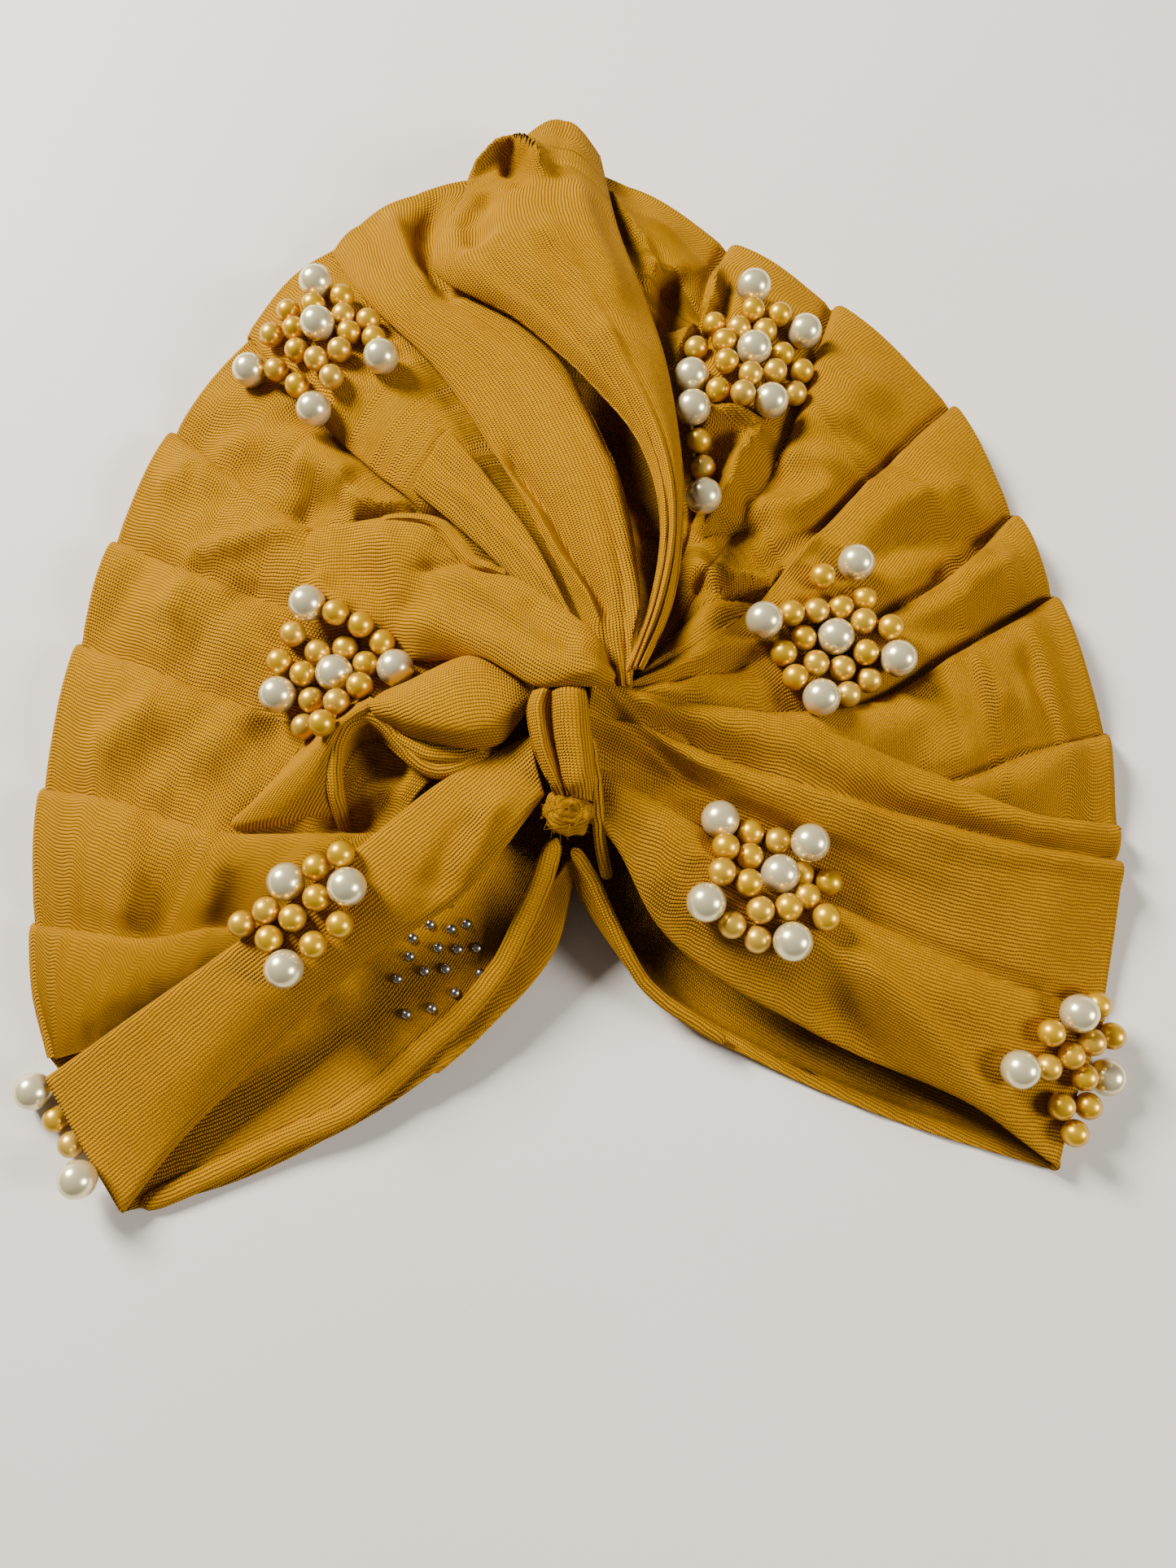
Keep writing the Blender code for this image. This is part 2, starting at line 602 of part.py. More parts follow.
def facing_quad(quads, band, way):
    """The free quad of a ball's band that looks most along the way."""
    def agreement(key):
        middle = 2 * math.pi * (key[1] + 0.5) / BEAD_SIDES
        return math.cos(middle - math.atan2(way[1], way[0]))

    return max((key for key in quads if key[0] == band), key=agreement)


def bead_field(name, balls):
    """Gold beads of one cluster, joined to one body by short links between neighbours."""
    points = []
    faces = []
    fields = []
    for ball in balls:
        ball_points, caps, quads = ball_mesh(ball[:3], ball[3])
        start = len(points)
        points += ball_points
        faces += [tuple(start + v for v in face) for face in caps]
        fields.append({key: tuple(start + v for v in quad) for key, quad in quads.items()})
    for i, j in nearest_pairs(balls):
        way = np.array(balls[j][:2]) - np.array(balls[i][:2])
        a = fields[i].pop(facing_quad(fields[i], 0, way))
        b = fields[j].pop(facing_quad(fields[j], 0, -way))
        b = (b[1], b[0], b[3], b[2])
        faces += [(a[k], a[(k + 1) % 4], b[(k + 1) % 4], b[k]) for k in range(4)]
    for quads in fields:
        faces += list(quads.values())
    return make_object(name, points, faces, "gold_bead")


def bead_clusters(cloth):
    """All clusters: each pearl is a piece of its own, each cluster's gold beads are one piece."""
    tree = cloth_tree(cloth)
    made = []
    for name, pearls, gold in CLUSTERS:
        balls = [[x, y, 0, PEARL / 2] for x, y in pearls] + [[x, y, 0, GOLD_BEAD / 2] for x, y in gold]
        settle(balls, tree)
        for k in range(len(pearls)):
            made.append(pearl(f"pearl_{name}_{k + 1}", balls[k]))
        made.append(bead_field(f"gold_beads_{name}", balls[len(pearls):]))
    return made


def centre_on_origin(objects):
    """Moves the whole hat so that the middle of its footprint is the origin."""
    corners = np.array([vert.co for piece in objects for vert in piece.data.vertices])
    middle = (corners.min(axis=0) + corners.max(axis=0)) / 2
    for piece in objects:
        for vert in piece.data.vertices:
            vert.co.x -= middle[0]
            vert.co.y -= middle[1]


def main():
    clear_scene()
    cloth = [back_panel()]
    cloth += [cloth_wall(*row) for row in CLOTH_WALLS]
    cloth += [hem_strap(*row) for row in HEM_STRAPS]
    cloth.append(tie_knot())
    centre_on_origin(cloth + bead_clusters(cloth))


main()
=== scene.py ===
"""The looks of a mustard knit turban hat with pearls and gold beads, lying on a pale table.

Every cloth piece is a fine grid between fold lines, with rolled edges, creases, soft waves and a
knit surface. All tables are in millimetres from the point on the table where the camera aims,
with X to the right, Y to the crown and Z up.
"""

import json
import math
from collections import namedtuple

import bpy
import numpy as np
from bpy.props import BoolProperty, FloatProperty, FloatVectorProperty, IntProperty, PointerProperty
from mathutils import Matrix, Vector
from mathutils.bvhtree import BVHTree

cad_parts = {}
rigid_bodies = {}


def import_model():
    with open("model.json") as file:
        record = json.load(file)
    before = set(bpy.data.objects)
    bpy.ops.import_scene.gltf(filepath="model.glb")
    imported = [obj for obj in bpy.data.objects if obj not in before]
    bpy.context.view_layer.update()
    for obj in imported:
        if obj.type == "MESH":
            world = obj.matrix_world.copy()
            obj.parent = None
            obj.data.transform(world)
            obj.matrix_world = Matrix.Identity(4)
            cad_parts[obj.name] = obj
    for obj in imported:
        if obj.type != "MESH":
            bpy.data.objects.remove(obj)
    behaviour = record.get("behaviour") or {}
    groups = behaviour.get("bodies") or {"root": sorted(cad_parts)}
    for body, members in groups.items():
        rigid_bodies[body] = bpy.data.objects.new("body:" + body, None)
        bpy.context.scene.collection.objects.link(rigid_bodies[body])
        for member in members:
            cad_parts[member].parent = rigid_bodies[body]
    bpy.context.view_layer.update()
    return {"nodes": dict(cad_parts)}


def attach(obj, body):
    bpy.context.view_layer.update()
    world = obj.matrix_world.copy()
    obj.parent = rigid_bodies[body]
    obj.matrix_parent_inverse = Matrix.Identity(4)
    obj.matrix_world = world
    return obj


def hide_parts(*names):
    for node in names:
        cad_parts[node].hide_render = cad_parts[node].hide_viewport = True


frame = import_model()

bl_info = {
    "name": "Turban hat looks",
    "version": (1, 0, 0),
    "blender": (4, 5, 0),
    "location": "View3D > Sidebar > Turban",
    "description": "Builds the pleated cloth, the beads and the stage of a turban hat",
    "category": "Object",
}

MM = 0.001

# From the tables' origin to the middle of the hat's footprint, in millimetres
HAT_SHIFT = (2.25, -37.0)

# A height in millimetres that is above the whole hat
ABOVE_ALL = 100

# Beads: diameters, how deep they sink into the cloth and the gap between them, in millimetres
PEARL = 8.2
GOLD_BEAD = 5.85
BEAD_SINK = 0.35
BEAD_GAP = 0.1

# Where a ball is tried on the cloth: turns round it, and rings as shares of its radius
SEAT_TURNS = 12
SEAT_RINGS = (0.0, 0.35, 0.6, 0.8, 0.92, 1.0)

# How crowded balls are pushed apart: rounds, how much of the overlap each ball moves, and the
# least distance in plan that gives them a way to go
SETTLE_ROUNDS = 40
SETTLE_SHARE = 0.55
SETTLE_LEAST = 0.1

# Segments and rings of the round meshes
PEARL_MESH = (36, 24)
GOLD_MESH = (24, 16)
RIVET_MESH = (10, 6)
KNOT_MESH = (48, 32)

# Rivets: radius, and the height from which their place on the lower wall is looked for
RIVET_RADIUS = 1.25
RIVET_SEARCH = 12

# The cloth's thickness, the least gap between it and the table, and the step between the faces
# that tell which way a piece of it looks
CLOTH_THICK = 0.7
TABLE_GAP = 0.1
FACE_STEP = 97

# Rolled edges: radius for each millimetre of height, at most this share of the strip beside
# them, and the angles of their rows in degrees
EDGE_ROUND = 0.9
EDGE_SHARE = 0.35
EDGE_TURNS = (-70, -45, -20, 0, 20, 40, 60, 75)

# The roll at the outline: radius, height of its foot, drop for each millimetre of its height,
# the share of each line that moves inwards for it, the rows that give the way outwards, and the
# angles of its own rows in degrees
OUTLINE_ROLL = 2.4
OUTLINE_FOOT = 0.4
OUTLINE_DROP = 1.9
OUTLINE_PULL = 0.25
OUTWARD_ROWS = 3
OUTLINE_TURNS = (-64, -45, -25, -5, 15, 35, 55, 75)

# The share of a line over which a sunk end goes down
SINK_SHARE = 0.12

# Irregular waves: how many are added, the range of their sizes, what the sum is divided by
WAVES = 7
WAVE_SIZES = (0.7, 1.6)
WAVE_SUM = 4

# Waves of the cloth: size in millimetres, share of a piece's ripple, what its seed gets added
RIPPLES = ((19, 1.0, 0), (6, 0.12, 50))

# The rows from the outline between which those waves grow
RIPPLE_ROWS = (4, 30)

# Creases: what their heights are multiplied by, the shares of a crease's line between which
# its ends fade, the half width above which it is a soft hollow or ridge, and the roundness
# and the fall of a sharp one
CREASE_DEPTH = 1.4
CREASE_ENDS = (-0.04, 0.22)
SOFT_WIDTH = 2
CREASE_TIP = 0.35
CREASE_FALL = 1.6

# The shadow line above each pleat of a piece with a rolled outline: depth, half width, cells
# of the whole line and how many of them it takes from the outline
GROOVE_DEPTH = 2.4
GROOVE_HALF_WIDTH = 1.0
GROOVE_CELLS = 40
GROOVE_TAKEN = 24

# The lower wall: height above the table, cells along its rails and across them
BACK_LIFT = 0.9
BACK_ALONG = 220
BACK_ACROSS = 80

# Waves of its hem: height, size, seed, what is added to them, where they fade, in rails
HEM_WAVE = 0.35
HEM_WAVE_SIZE = 11
HEM_SEED = 3
HEM_RISE = 0.6
HEM_FADE = (0.6, 2.0)

# Rolled strips: cells along them, sides, how blunt their ends are, and the section's share that
# is left at an end
STRIP_CELLS = 90
STRIP_SIDES = 20
STRIP_BLUNT = 24
STRIP_TIP = 0.01

# The knot: centre, size along each axis, strands round it and how steeply they wind
KNOT_AT = (-4, -12.4, 27.0)
KNOT_SIZE = (10.2, 9.4, 8.4)
KNOT_STRANDS = 3
KNOT_WIND = 9

# The knot's lumps as shares of its size: the strands, the big lumps, two kinds of small ones
KNOT_LUMPS = (0.05, 0.10, 0.06, 0.05)

# How close its big lumps are along X and Y, its width as the small lumps count it, their sizes
# and seeds, and the width and height of the knit on it
KNOT_BIG = (11, 9)
KNOT_WIDTH = 40
KNOT_SMALL = (8, 8)
KNOT_FINE = (5, 9)
KNOT_KNIT = (8, 12)

# Loose threads: radius, range of lengths, where they start as shares of the knot's half size,
# how far they reach outwards and curl as shares of their length, the share of the radius that
# the tip loses, cells along a thread, the angles of its three sides in radians and the seed
THREAD_RADIUS = 0.07
THREAD_LENGTHS = (0.8, 2.6)
THREAD_STARTS = (0.75, 0.95)
THREAD_REACH = 0.6
THREAD_CURL = 0.8
THREAD_TAPER = 0.6
THREAD_CELLS = 5
THREAD_TURNS = (0, 2.1, 4.2)
THREAD_SEED = 4

# Sheets: the least width in metres, and the least share of the flat size for the area
NARROWEST_SHEET = 0.0101
LEAST_AREA = 0.3

# Colours in linear light
KNIT_DEEP = (0.37, 0.150, 0.0)
KNIT_BRIGHT = (0.49, 0.225, 0.0)
# Painted shade in the valleys between the knit's ribs
KNIT_VALLEY_SHADE = (0.15, 0.048, 0.0)
KNIT_FUZZ = (0.62, 0.310, 0.004)
PEARL_HEART = (0.88, 0.79, 0.48)
# Painted shade and painted reflection of the gold cloth at a pearl's rim
PEARL_RIM_SHADE_AND_REFLECTION = (0.54, 0.42, 0.15)
GOLD_HEART = (0.78, 0.45, 0.004)
GOLD_PALE = (0.78, 0.52, 0.10)
# Painted shade at a gold bead's rim
GOLD_RIM_SHADE = (0.34, 0.155, 0.0)
TABLE_WARM = (0.73, 0.68, 0.60)
TABLE_COOL = (0.77, 0.745, 0.70)

# Materials: the plain values of each one's shader
SURFACES = {
    "mustard knit": {"Roughness": 0.68, "Specular IOR Level": 0.04},
    "ivory pearl": {
        "Roughness": 0.26,
        "Metallic": 0.6,
        "Coat Weight": 1.0,
        "Coat Roughness": 0.05,
    },
    "satin pearl gold": {
        "Roughness": 0.34,
        "Metallic": 0.6,
        "Coat Weight": 0.25,
        "Coat Roughness": 0.10,
    },
    "rivet steel": {
        "Base Color": (0.55, 0.55, 0.56, 1),
        "Roughness": 0.25,
        "Metallic": 1.0,
    },
    "pale table": {"Roughness": 0.6, "Specular IOR Level": 0.2},
}

# How far the painted shade and reflection at the rim of a pearl, and the painted shade at the rim of a gold
# bead, reach in
PEARL_RIM = 0.35
GOLD_RIM = 0.4

# How few of the gold beads are pale
GOLD_PALE_POWER = 3.0

# Patches of colour on the table, for each metre
TABLE_PATCHES = 6.0

# The knit: waves for each millimetre and how far they bend the ribs, how narrow the valleys
# between ribs are, how far a stitch slants and how high it stands beside a rib
KNIT_BEND_SCALE = 0.25
KNIT_BEND = 0.7
VALLEY_POWER = 2.5
STITCH_SLANT = 0.5
STITCH_HEIGHT = 0.22

# Height of the fuzz beside the ribs
FUZZ_HEIGHT = 0.5

# Camera: lens and sensor in millimetres, height above the table and lean in degrees
LENS = 28
SENSOR = 36
CAMERA_HEIGHT = 275
CAMERA_LEAN = 13.3
NEAREST_SEEN = 0.01

# Lights: name, place in metres, side in metres, share of the power, colour
LIGHTS = (
    ("window", (-0.84, 0.74, 0.80), 0.40, 1.0, (1.0, 0.965, 0.90)),
    ("side window", (1.05, -0.30, 0.66), 0.40, 0.30, (1.0, 0.97, 0.93)),
)
ROOM_COLOUR = (1.0, 0.95, 0.90)

# Fold lines of each piece: name, step of a pleat, puff up to the next line, then points, from
# the outline or a free end to the twist, or in the tongue from the twist down to the knot
LEFT_PLEATS = (
    ("centre seam", 0, 0, (-34, 155, 5), (-24, 127, 11), (-16, 94, 14), (-6, 61, 16), (0, 29, 18)),
    ("drape edge", 0, 2.2, (-66, 138, 4), (-55, 119, 11), (-42, 103, 14), (-25, 74, 16), (-8, 34, 18)),
    ("crown tuck", -1.4, 2.8,
        (-85, 114, 4), (-69, 92, 12), (-54, 75, 15), (-38, 60, 16), (-10, 25, 18)),
    ("first pleat", 1.4, 2.2,
        (-102, 88, 4), (-85, 73, 10), (-68, 60, 14), (-46, 49, 16), (-13, 20, 18)),
    ("second pleat", 1.4, 2.2,
        (-114, 59, 4), (-91, 47, 12), (-68, 37, 15), (-48, 28, 17), (-15, 14, 18)),
    ("third pleat", 1.4, 2.2, (-120, 33, 4), (-95, 22, 12), (-76, 14, 15), (-55, 8, 17), (-28, 4, 18)),
    ("fourth pleat", 1.4, 2.2,
        (-125, -2, 4), (-103, -7, 12), (-83, -14, 15), (-63, -15, 16), (-42, -14, 17)),
    ("fifth pleat", 1.4, 0,
        (-124, -33, 4), (-110, -35, 9), (-95, -37, 12), (-80, -35, 13), (-66, -35, 13)),
    ("side", 0, 0, (-122, -49, 4), (-112, -49, 7), (-102, -49, 9), (-92, -49, 9), (-83, -47, 9)),
    ("corner", 0, 0,
        (-118, -62, 4), (-115, -62, 4.3), (-111, -61, 4.6), (-107, -60, 4.8), (-103, -58, 5)),
)
RIGHT_PLEATS = (
    ("centre seam", 0, 0, (-32, 157, 5), (-22, 128, 11), (-14, 95, 14), (-4, 62, 16), (2, 30, 18)),
    ("under the drape", 0, 0, (-7, 163, 5), (-2, 127, 11), (4, 94, 13), (10, 61, 15), (8, 29, 18)),
    ("beside the drape", 0, 2.2,
        (10, 158, 5), (18, 134, 11), (20, 102, 14), (21, 62, 16), (10, 27, 18)),
    ("crown tuck", 1.4, 2.8, (36, 140, 4), (29, 122, 10), (26, 102, 14), (24, 58, 17), (12, 25, 19)),
    ("first pleat", 1.4, 2.8, (62, 123, 4), (56, 106, 11), (45, 75, 15), (29, 48, 17), (14, 23, 19)),
    ("second pleat", 1.4, 2.2, (90, 95, 4), (69, 73, 12), (52, 54, 16), (38, 37, 19), (11, 17, 27)),
    ("third pleat", 1.4, 2.2, (103, 66, 4), (83, 46, 12), (63, 33, 16), (43, 25, 19.5), (9, 14, 29)),
    ("fourth pleat", 1.4, 2.2, (111, 45, 4), (85, 28, 12), (61, 14, 16), (42, 11, 20), (9, 11.5, 29.5)),
    ("fifth pleat", 1.4, 0, (120, 11, 4), (98, 4, 12), (80, -3, 14), (52, -1, 19), (9, 9, 29.5)),
    ("tucked edge", 0, 0, (120.5, -14, 3.8), (98, -17, 9), (76, -12, 14), (48, -6, 18), (9, 7, 28)),
)
RIGHT_BAND = (
    ("upper edge", 0, 0,
        (120, -11, 6), (97, -10, 14), (71, -1, 19), (45, 8, 24), (9, 13.5, 31), (2, 16, 35.5)),
    ("upper crest", 0, 0,
        (120, -15, 6), (96, -14, 15), (70, -7, 21.5), (44, 1, 26.5), (8, 10.4, 33), (0.5, 12, 36.5)),
    ("sixth pleat", 1.4, 1,
        (120, -19, 5), (96, -17, 13.5), (71, -12, 18), (44, -6, 23), (6, 7, 29), (0, 7.5, 34.5)),
    ("roll", 0, 0,
        (119, -25, 4.5), (98, -23, 13), (74, -22, 18), (48, -14, 23), (3, 5, 30), (-1.5, 6, 34.5)),
    ("valley", 0, 0,
        (117, -36, 4), (97, -35, 12), (76, -30, 16), (48, -18, 19), (2, 2, 26), (-3, 4, 31)),
    ("seventh pleat", 1.4, 1,
        (113, -53, 4), (80, -43, 14), (58, -33, 17), (27, -17, 22), (2, -2, 26), (-4, 1, 30)),
    ("belly", 0, 0,
        (106, -68, 4), (81, -57, 13), (55, -46, 19), (25, -29, 24), (2, -9, 27), (-4, -4, 30)),
    ("front hem", 0, 0,
        (100, -85, 4), (79, -71, 9), (47, -57, 14), (15, -36, 20), (3, -16, 26), (-2, -12, 28)),
)
LEFT_BAND = (
    ("upper edge", 0, 0,
        (-116, -66, 5.2), (-92, -51, 14), (-70, -36, 18.5), (-49, -20, 22), (-30, -5, 25),
        (-12, 4, 27.5)),
    ("crown line", 0, 0,
        (-107, -80, 4.6), (-88, -66, 11), (-67, -48, 16), (-46, -33, 20.4), (-27, -17, 24.8),
        (-11, -2, 28)),
    ("lower edge", 0, 0,
        (-98, -94, 2.6), (-87, -80, 4.6), (-66, -60, 8.8), (-49, -44, 13.5), (-25, -28, 20.5),
        (-9, -9, 26.5)),
)
UNDER_DRAPE = (
    ("left edge", 0, 1,
        (-65, 136, 6.4), (-54, 117, 14), (-36, 96, 18), (-19, 67, 22), (-6, 40, 27), (4, 14, 32)),
    ("left fold", 0, 1,
        (-58, 144, 7), (-44, 117, 16), (-25, 96, 20), (-10, 65, 25), (0, 40, 29), (6, 13, 32.5)),
    ("valley", 0, 1,
        (-44, 152, 8), (-37, 120, 14.5), (-16, 98, 21), (0, 68, 27), (7, 39, 30), (8, 13, 32.8)),
    ("gap edge", 0, 0,
        (-25, 158, 7), (-28, 126, 14), (-6, 96, 20), (8, 60, 26), (11, 34, 30), (9, 13, 33)),
)
DRAPE_STRIP = (
    ("left edge", 0, 0.5, (-40, 64, 19.6), (-29, 54, 20.6), (-17, 41, 24), (-7, 28, 28), (1, 16, 32)),
    ("middle", 0, 0.5, (-36, 72, 20.2), (-25, 60, 21.6), (-14, 45, 25), (-5, 29, 29), (2, 16, 32.4)),
    ("right edge", 0, 0, (-32, 79, 20.2), (-22, 65, 22), (-12, 49, 26), (-4, 31, 30), (3, 16, 32.8)),
)
OVER_DRAPE = (
    ("left edge", 0, 1,
        (-27, 155, 12.4), (-37, 123, 17.2), (-17, 106, 22.2), (-3, 91, 25), (11, 71, 29),
        (15.5, 50, 33.5), (13, 30, 36), (8, 15, 37.5)),
    ("left fold", 0, 1.5,
        (-17, 160, 16), (-26, 124, 23), (-8, 103, 27), (4, 87, 30), (14, 68, 32), (17, 49, 35),
        (14, 29, 37), (9, 15, 38.2)),
    ("crest", 0, 1,
        (-6, 168, 15), (-6, 126, 26), (4, 104, 29), (11, 86, 31), (17, 67, 33), (18.5, 48, 35.4),
        (15, 28, 37.3), (10, 15, 38.6)),
    ("right edge", 0, 0,
        (3, 162, 10), (8, 131, 18), (14, 110, 22), (18, 92, 25), (20.5, 70, 28), (20, 48, 32),
        (16.5, 27, 35.5), (11, 15, 38.4)),
)
TWIST_WRAP = (
    ("upper edge", 0, 0,
        (-74.6, 52.1, 15.5), (-63.4, 55.2, 17.5), (-49.6, 56.3, 20), (-36.1, 55.9, 21.5),
        (-30.2, 51.9, 23), (-25.4, 44, 26), (-18.4, 40.4, 29), (-10.8, 34.3, 32), (-3, 27.6, 35),
        (3.2, 20.5, 37), (5.2, 15.5, 36)),
    ("upper crest", 0, 0,
        (-73.7, 48.1, 16.5), (-61.8, 49.3, 20), (-48.4, 49.5, 23), (-37.2, 47.9, 25),
        (-30.2, 42.6, 27), (-22.7, 35.8, 31), (-14, 29.1, 35), (-5.8, 21.7, 38.5), (1.6, 17.2, 40),
        (5.4, 14.8, 37.5)),
    ("middle", 0, 0,
        (-72.7, 43.2, 16.5), (-60.4, 42.1, 20.5), (-49, 42.2, 23), (-38.8, 39.6, 25), (-28.5, 34, 28),
        (-19.3, 27.8, 32.5), (-11.3, 21.7, 36.5), (-3.7, 16.4, 39.5), (1.9, 14.6, 41), (5.6, 14, 38)),
    ("lower crest", 0, 0,
        (-71.4, 37.5, 15.5), (-59.1, 34.4, 19), (-48.5, 32.6, 22.5), (-39.2, 30.3, 25.5),
        (-28.2, 25.9, 29), (-19.2, 21.7, 34), (-11.3, 16.7, 37.4), (-3.7, 13.6, 39.6),
        (1.6, 12.6, 40.4), (5.4, 13, 38)),
    ("lower edge", 0, 0,
        (-69.3, 32, 13.5), (-58.4, 28, 15.5), (-48.8, 25.2, 17), (-39.7, 23.2, 18.6),
        (-28.8, 21.6, 24), (-22.2, 19.6, 30.6), (-16, 15.2, 34), (-10.5, 11.6, 36), (-3.4, 11.4, 37.4),
        (1.4, 11.6, 38), (5, 12.2, 37)),
)
TWIST_ROLL = (
    ("foot", 0, 0,
        (-47.6, 13.8, 20), (-43.6, 15.8, 18.5), (-38.6, 17.8, 18), (-34, 19.8, 19), (-28.4, 21.8, 22),
        (-22.3, 22.6, 25), (-16.6, 19.6, 27), (-11.4, 15, 29)),
    ("upper edge", 0, 0,
        (-47.4, 12.4, 24), (-43.4, 14.2, 25.5), (-38.2, 16, 27), (-33.4, 18.2, 27.8), (-28, 20.6, 28),
        (-22.3, 21.6, 28.4), (-16.6, 18.8, 29.4), (-11.4, 14.4, 30.4)),
    ("upper crest", 0, 0,
        (-46.4, 10.8, 27.4), (-41.4, 10.6, 30), (-36, 11.8, 32.4), (-31, 13.6, 33.2), (-26, 15.4, 33),
        (-20.9, 16.2, 32), (-15.9, 15, 31.6), (-11, 13, 31)),
    ("lower crest", 0, 0,
        (-45.6, 8.8, 27.2), (-40.2, 7.2, 30), (-35, 5.7, 32.4), (-29.2, 4.9, 33.4), (-23.5, 4.9, 33.2),
        (-18.8, 6.9, 32.6), (-14.5, 9.9, 31.8), (-10.6, 12.1, 31)),
    ("lower edge", 0, 0,
        (-44.8, 7.2, 24), (-40.6, 5.4, 25.5), (-36.2, 3.2, 27), (-30.3, 1.4, 28.4), (-23.3, 0.4, 29),
        (-18.4, 1.3, 29.4), (-14.6, 5.5, 30), (-10.3, 11.6, 30.5)),
)
SIDE_FOLD = (
    ("outer foot", 0, 0,
        (-81, -13, 12), (-70.3, -2.9, 14.5), (-63.1, 3.6, 16.5), (-56.8, 10, 18.5), (-49, 15.4, 20)),
    ("outer ridge", 0, 0,
        (-79.2, -15.6, 14.4), (-67.4, -5.6, 20), (-60, 0.8, 22.6), (-53.6, 7.4, 25), (-46, 12.4, 27)),
    ("face", 0, 0,
        (-67.6, -14.8, 15.6), (-61.8, -6.9, 21.6), (-57.2, -0.8, 24.2), (-52, 6.4, 26.8),
        (-44.6, 11, 28.2)),
    ("inner ridge", 0, 0,
        (-54, -13, 14), (-54.4, -5.8, 19), (-54.3, 0, 22), (-51.2, 6, 24.4), (-44.6, 8.4, 26)),
    ("inner foot", 0, 0,
        (-51, -11.5, 10), (-51.8, -4.4, 11), (-51.2, 1.4, 12.5), (-48, 5, 16), (-43.4, 6.4, 20)),
)
ROLL_BENEATH = (
    ("upper edge", 0, 0,
        (-47, 12.8, 22), (-42.2, 8.8, 24.4), (-37.1, 6.2, 25.4), (-31.4, 4.6, 26.4),
        (-25.3, 3.8, 27.2), (-19.2, 3.6, 28)),
    ("crest", 0, 0,
        (-49.4, 10.6, 25), (-43.8, 6.4, 25.8), (-38.9, 2.6, 26.2), (-33, -0.3, 26.6), (-27, -0.6, 27),
        (-18.8, 1.7, 28)),
    ("lower edge", 0, 0,
        (-50.4, 8, 20.5), (-45.3, 5.8, 20.5), (-41.3, 2, 20.5), (-36.4, -2.1, 21), (-29.6, -3.1, 22),
        (-20, -0.2, 26)),
)
SWEEP_ROLL = (
    ("upper edge", 0, 0,
        (-49.7, 56.6, 20.5), (-40.7, 57.1, 22), (-32.3, 55, 23), (-27.4, 49.4, 25),
        (-23.5, 43.7, 27.5), (-17.6, 40.5, 30.5)),
    ("crest", 0, 0,
        (-49.1, 55, 22), (-40, 55, 24), (-32.7, 52.5, 25.5), (-28.6, 47, 27.5), (-24.3, 41.5, 30),
        (-17.8, 39.1, 32)),
    ("lower edge", 0, 0,
        (-48.9, 54.2, 20.5), (-40.2, 54.3, 22), (-33.9, 51.7, 23.5), (-30.2, 46.5, 25.5),
        (-25.5, 41, 28), (-18.2, 38.4, 31)),
)
FRONT_TONGUE = (
    ("left edge", 0, 0,
        (-7.4, 13, 37.4), (-7.3, 7.3, 36), (-7, 2.6, 34.8), (-6.2, -2.3, 33.4), (-5, -7.1, 32),
        (-3.9, -10, 30.5)),
    ("left crest", 0, 0,
        (-5, 13, 39), (-5.2, 6.5, 38.6), (-5, 1.7, 36.9), (-4.4, -3, 35), (-3.4, -7.5, 34),
        (-2.6, -10.3, 31.8)),
    ("right crest", 0, 0,
        (-3, 13, 39), (-2.2, 6.5, 38.6), (-1.9, 1.7, 37.6), (-1.4, -3, 36.2), (-0.8, -7.5, 34.2),
        (-0.6, -10.6, 31.8)),
    ("right edge", 0, 0,
        (-0.8, 13, 37.4), (0.2, 7.2, 36.4), (0.7, 2.3, 35.4), (1.3, -2.5, 34), (1.5, -7.1, 32.4),
        (1.6, -10.7, 30.5)),
)
TONGUE_STRAND = (
    ("left edge", 0, 0,
        (-10.4, 13, 35.6), (-12.5, 8.3, 34.1), (-12, 3.5, 33.1), (-10.6, -1.4, 32.1), (-8, -6.7, 30.6),
        (-6.4, -9.6, 29.6)),
    ("crest", 0, 0,
        (-8.4, 13, 37.4), (-10.2, 7.4, 36.8), (-9.8, 2.1, 36), (-8.6, -2.7, 34.6), (-6.6, -7.3, 32.6),
        (-5.4, -9.8, 30.6)),
    ("right edge", 0, 0,
        (-6, 13, 36.2), (-7.4, 7.5, 34.4), (-7.2, 2.6, 33.4), (-6.2, -2.2, 32.2), (-4.8, -7, 31),
        (-4.2, -9.7, 30)),
)

# The lower wall: the right end of its outline, the outline's points at the crown, and three
# rails from the left corner to the right one, the hem's edge, the bulge beside it and the foot
# of its curl
RIGHT_END = (103, -77)
CROWN_TOP = ((-50, 148), (-34, 155))
BACK_HEM = (
    (-99, -94, 0), (-76, -88, 0), (-50, -75, 1), (-28, -56, 6), (-12, -33, 12), (-6.5, -23.5, 15.5),
    (-3.5, -20.5, 17), (-0.5, -23.5, 15.5), (5, -34, 12), (15, -49, 5.5), (40, -64, 0.8), (66, -75, 0),
    (100, -85.5, 0),
)
BACK_BULGE = (
    (-98, -92, 0), (-75, -85, 0.6), (-48, -74, 2), (-22.5, -55, 5.5), (-7, -36, 6), (-4.6, -27, 9),
    (-3.4, -23, 10), (-1.6, -26, 9), (4, -34, 6), (15, -47, 2.4), (40, -61, 0.2), (66, -72, 0),
    (99, -83, 0),
)
BACK_FOOT = (
    (-96, -86, 0), (-73, -78, 1.6), (-47, -62, 4.5), (-30, -40, 8), (-18, -17, 8), (-11, -5, 4),
    (-3.5, 0, 0), (4, -5, 0), (11, -17, 0), (22, -38, 0), (42, -53, 0), (66, -65, 0), (97, -77, 0),
)

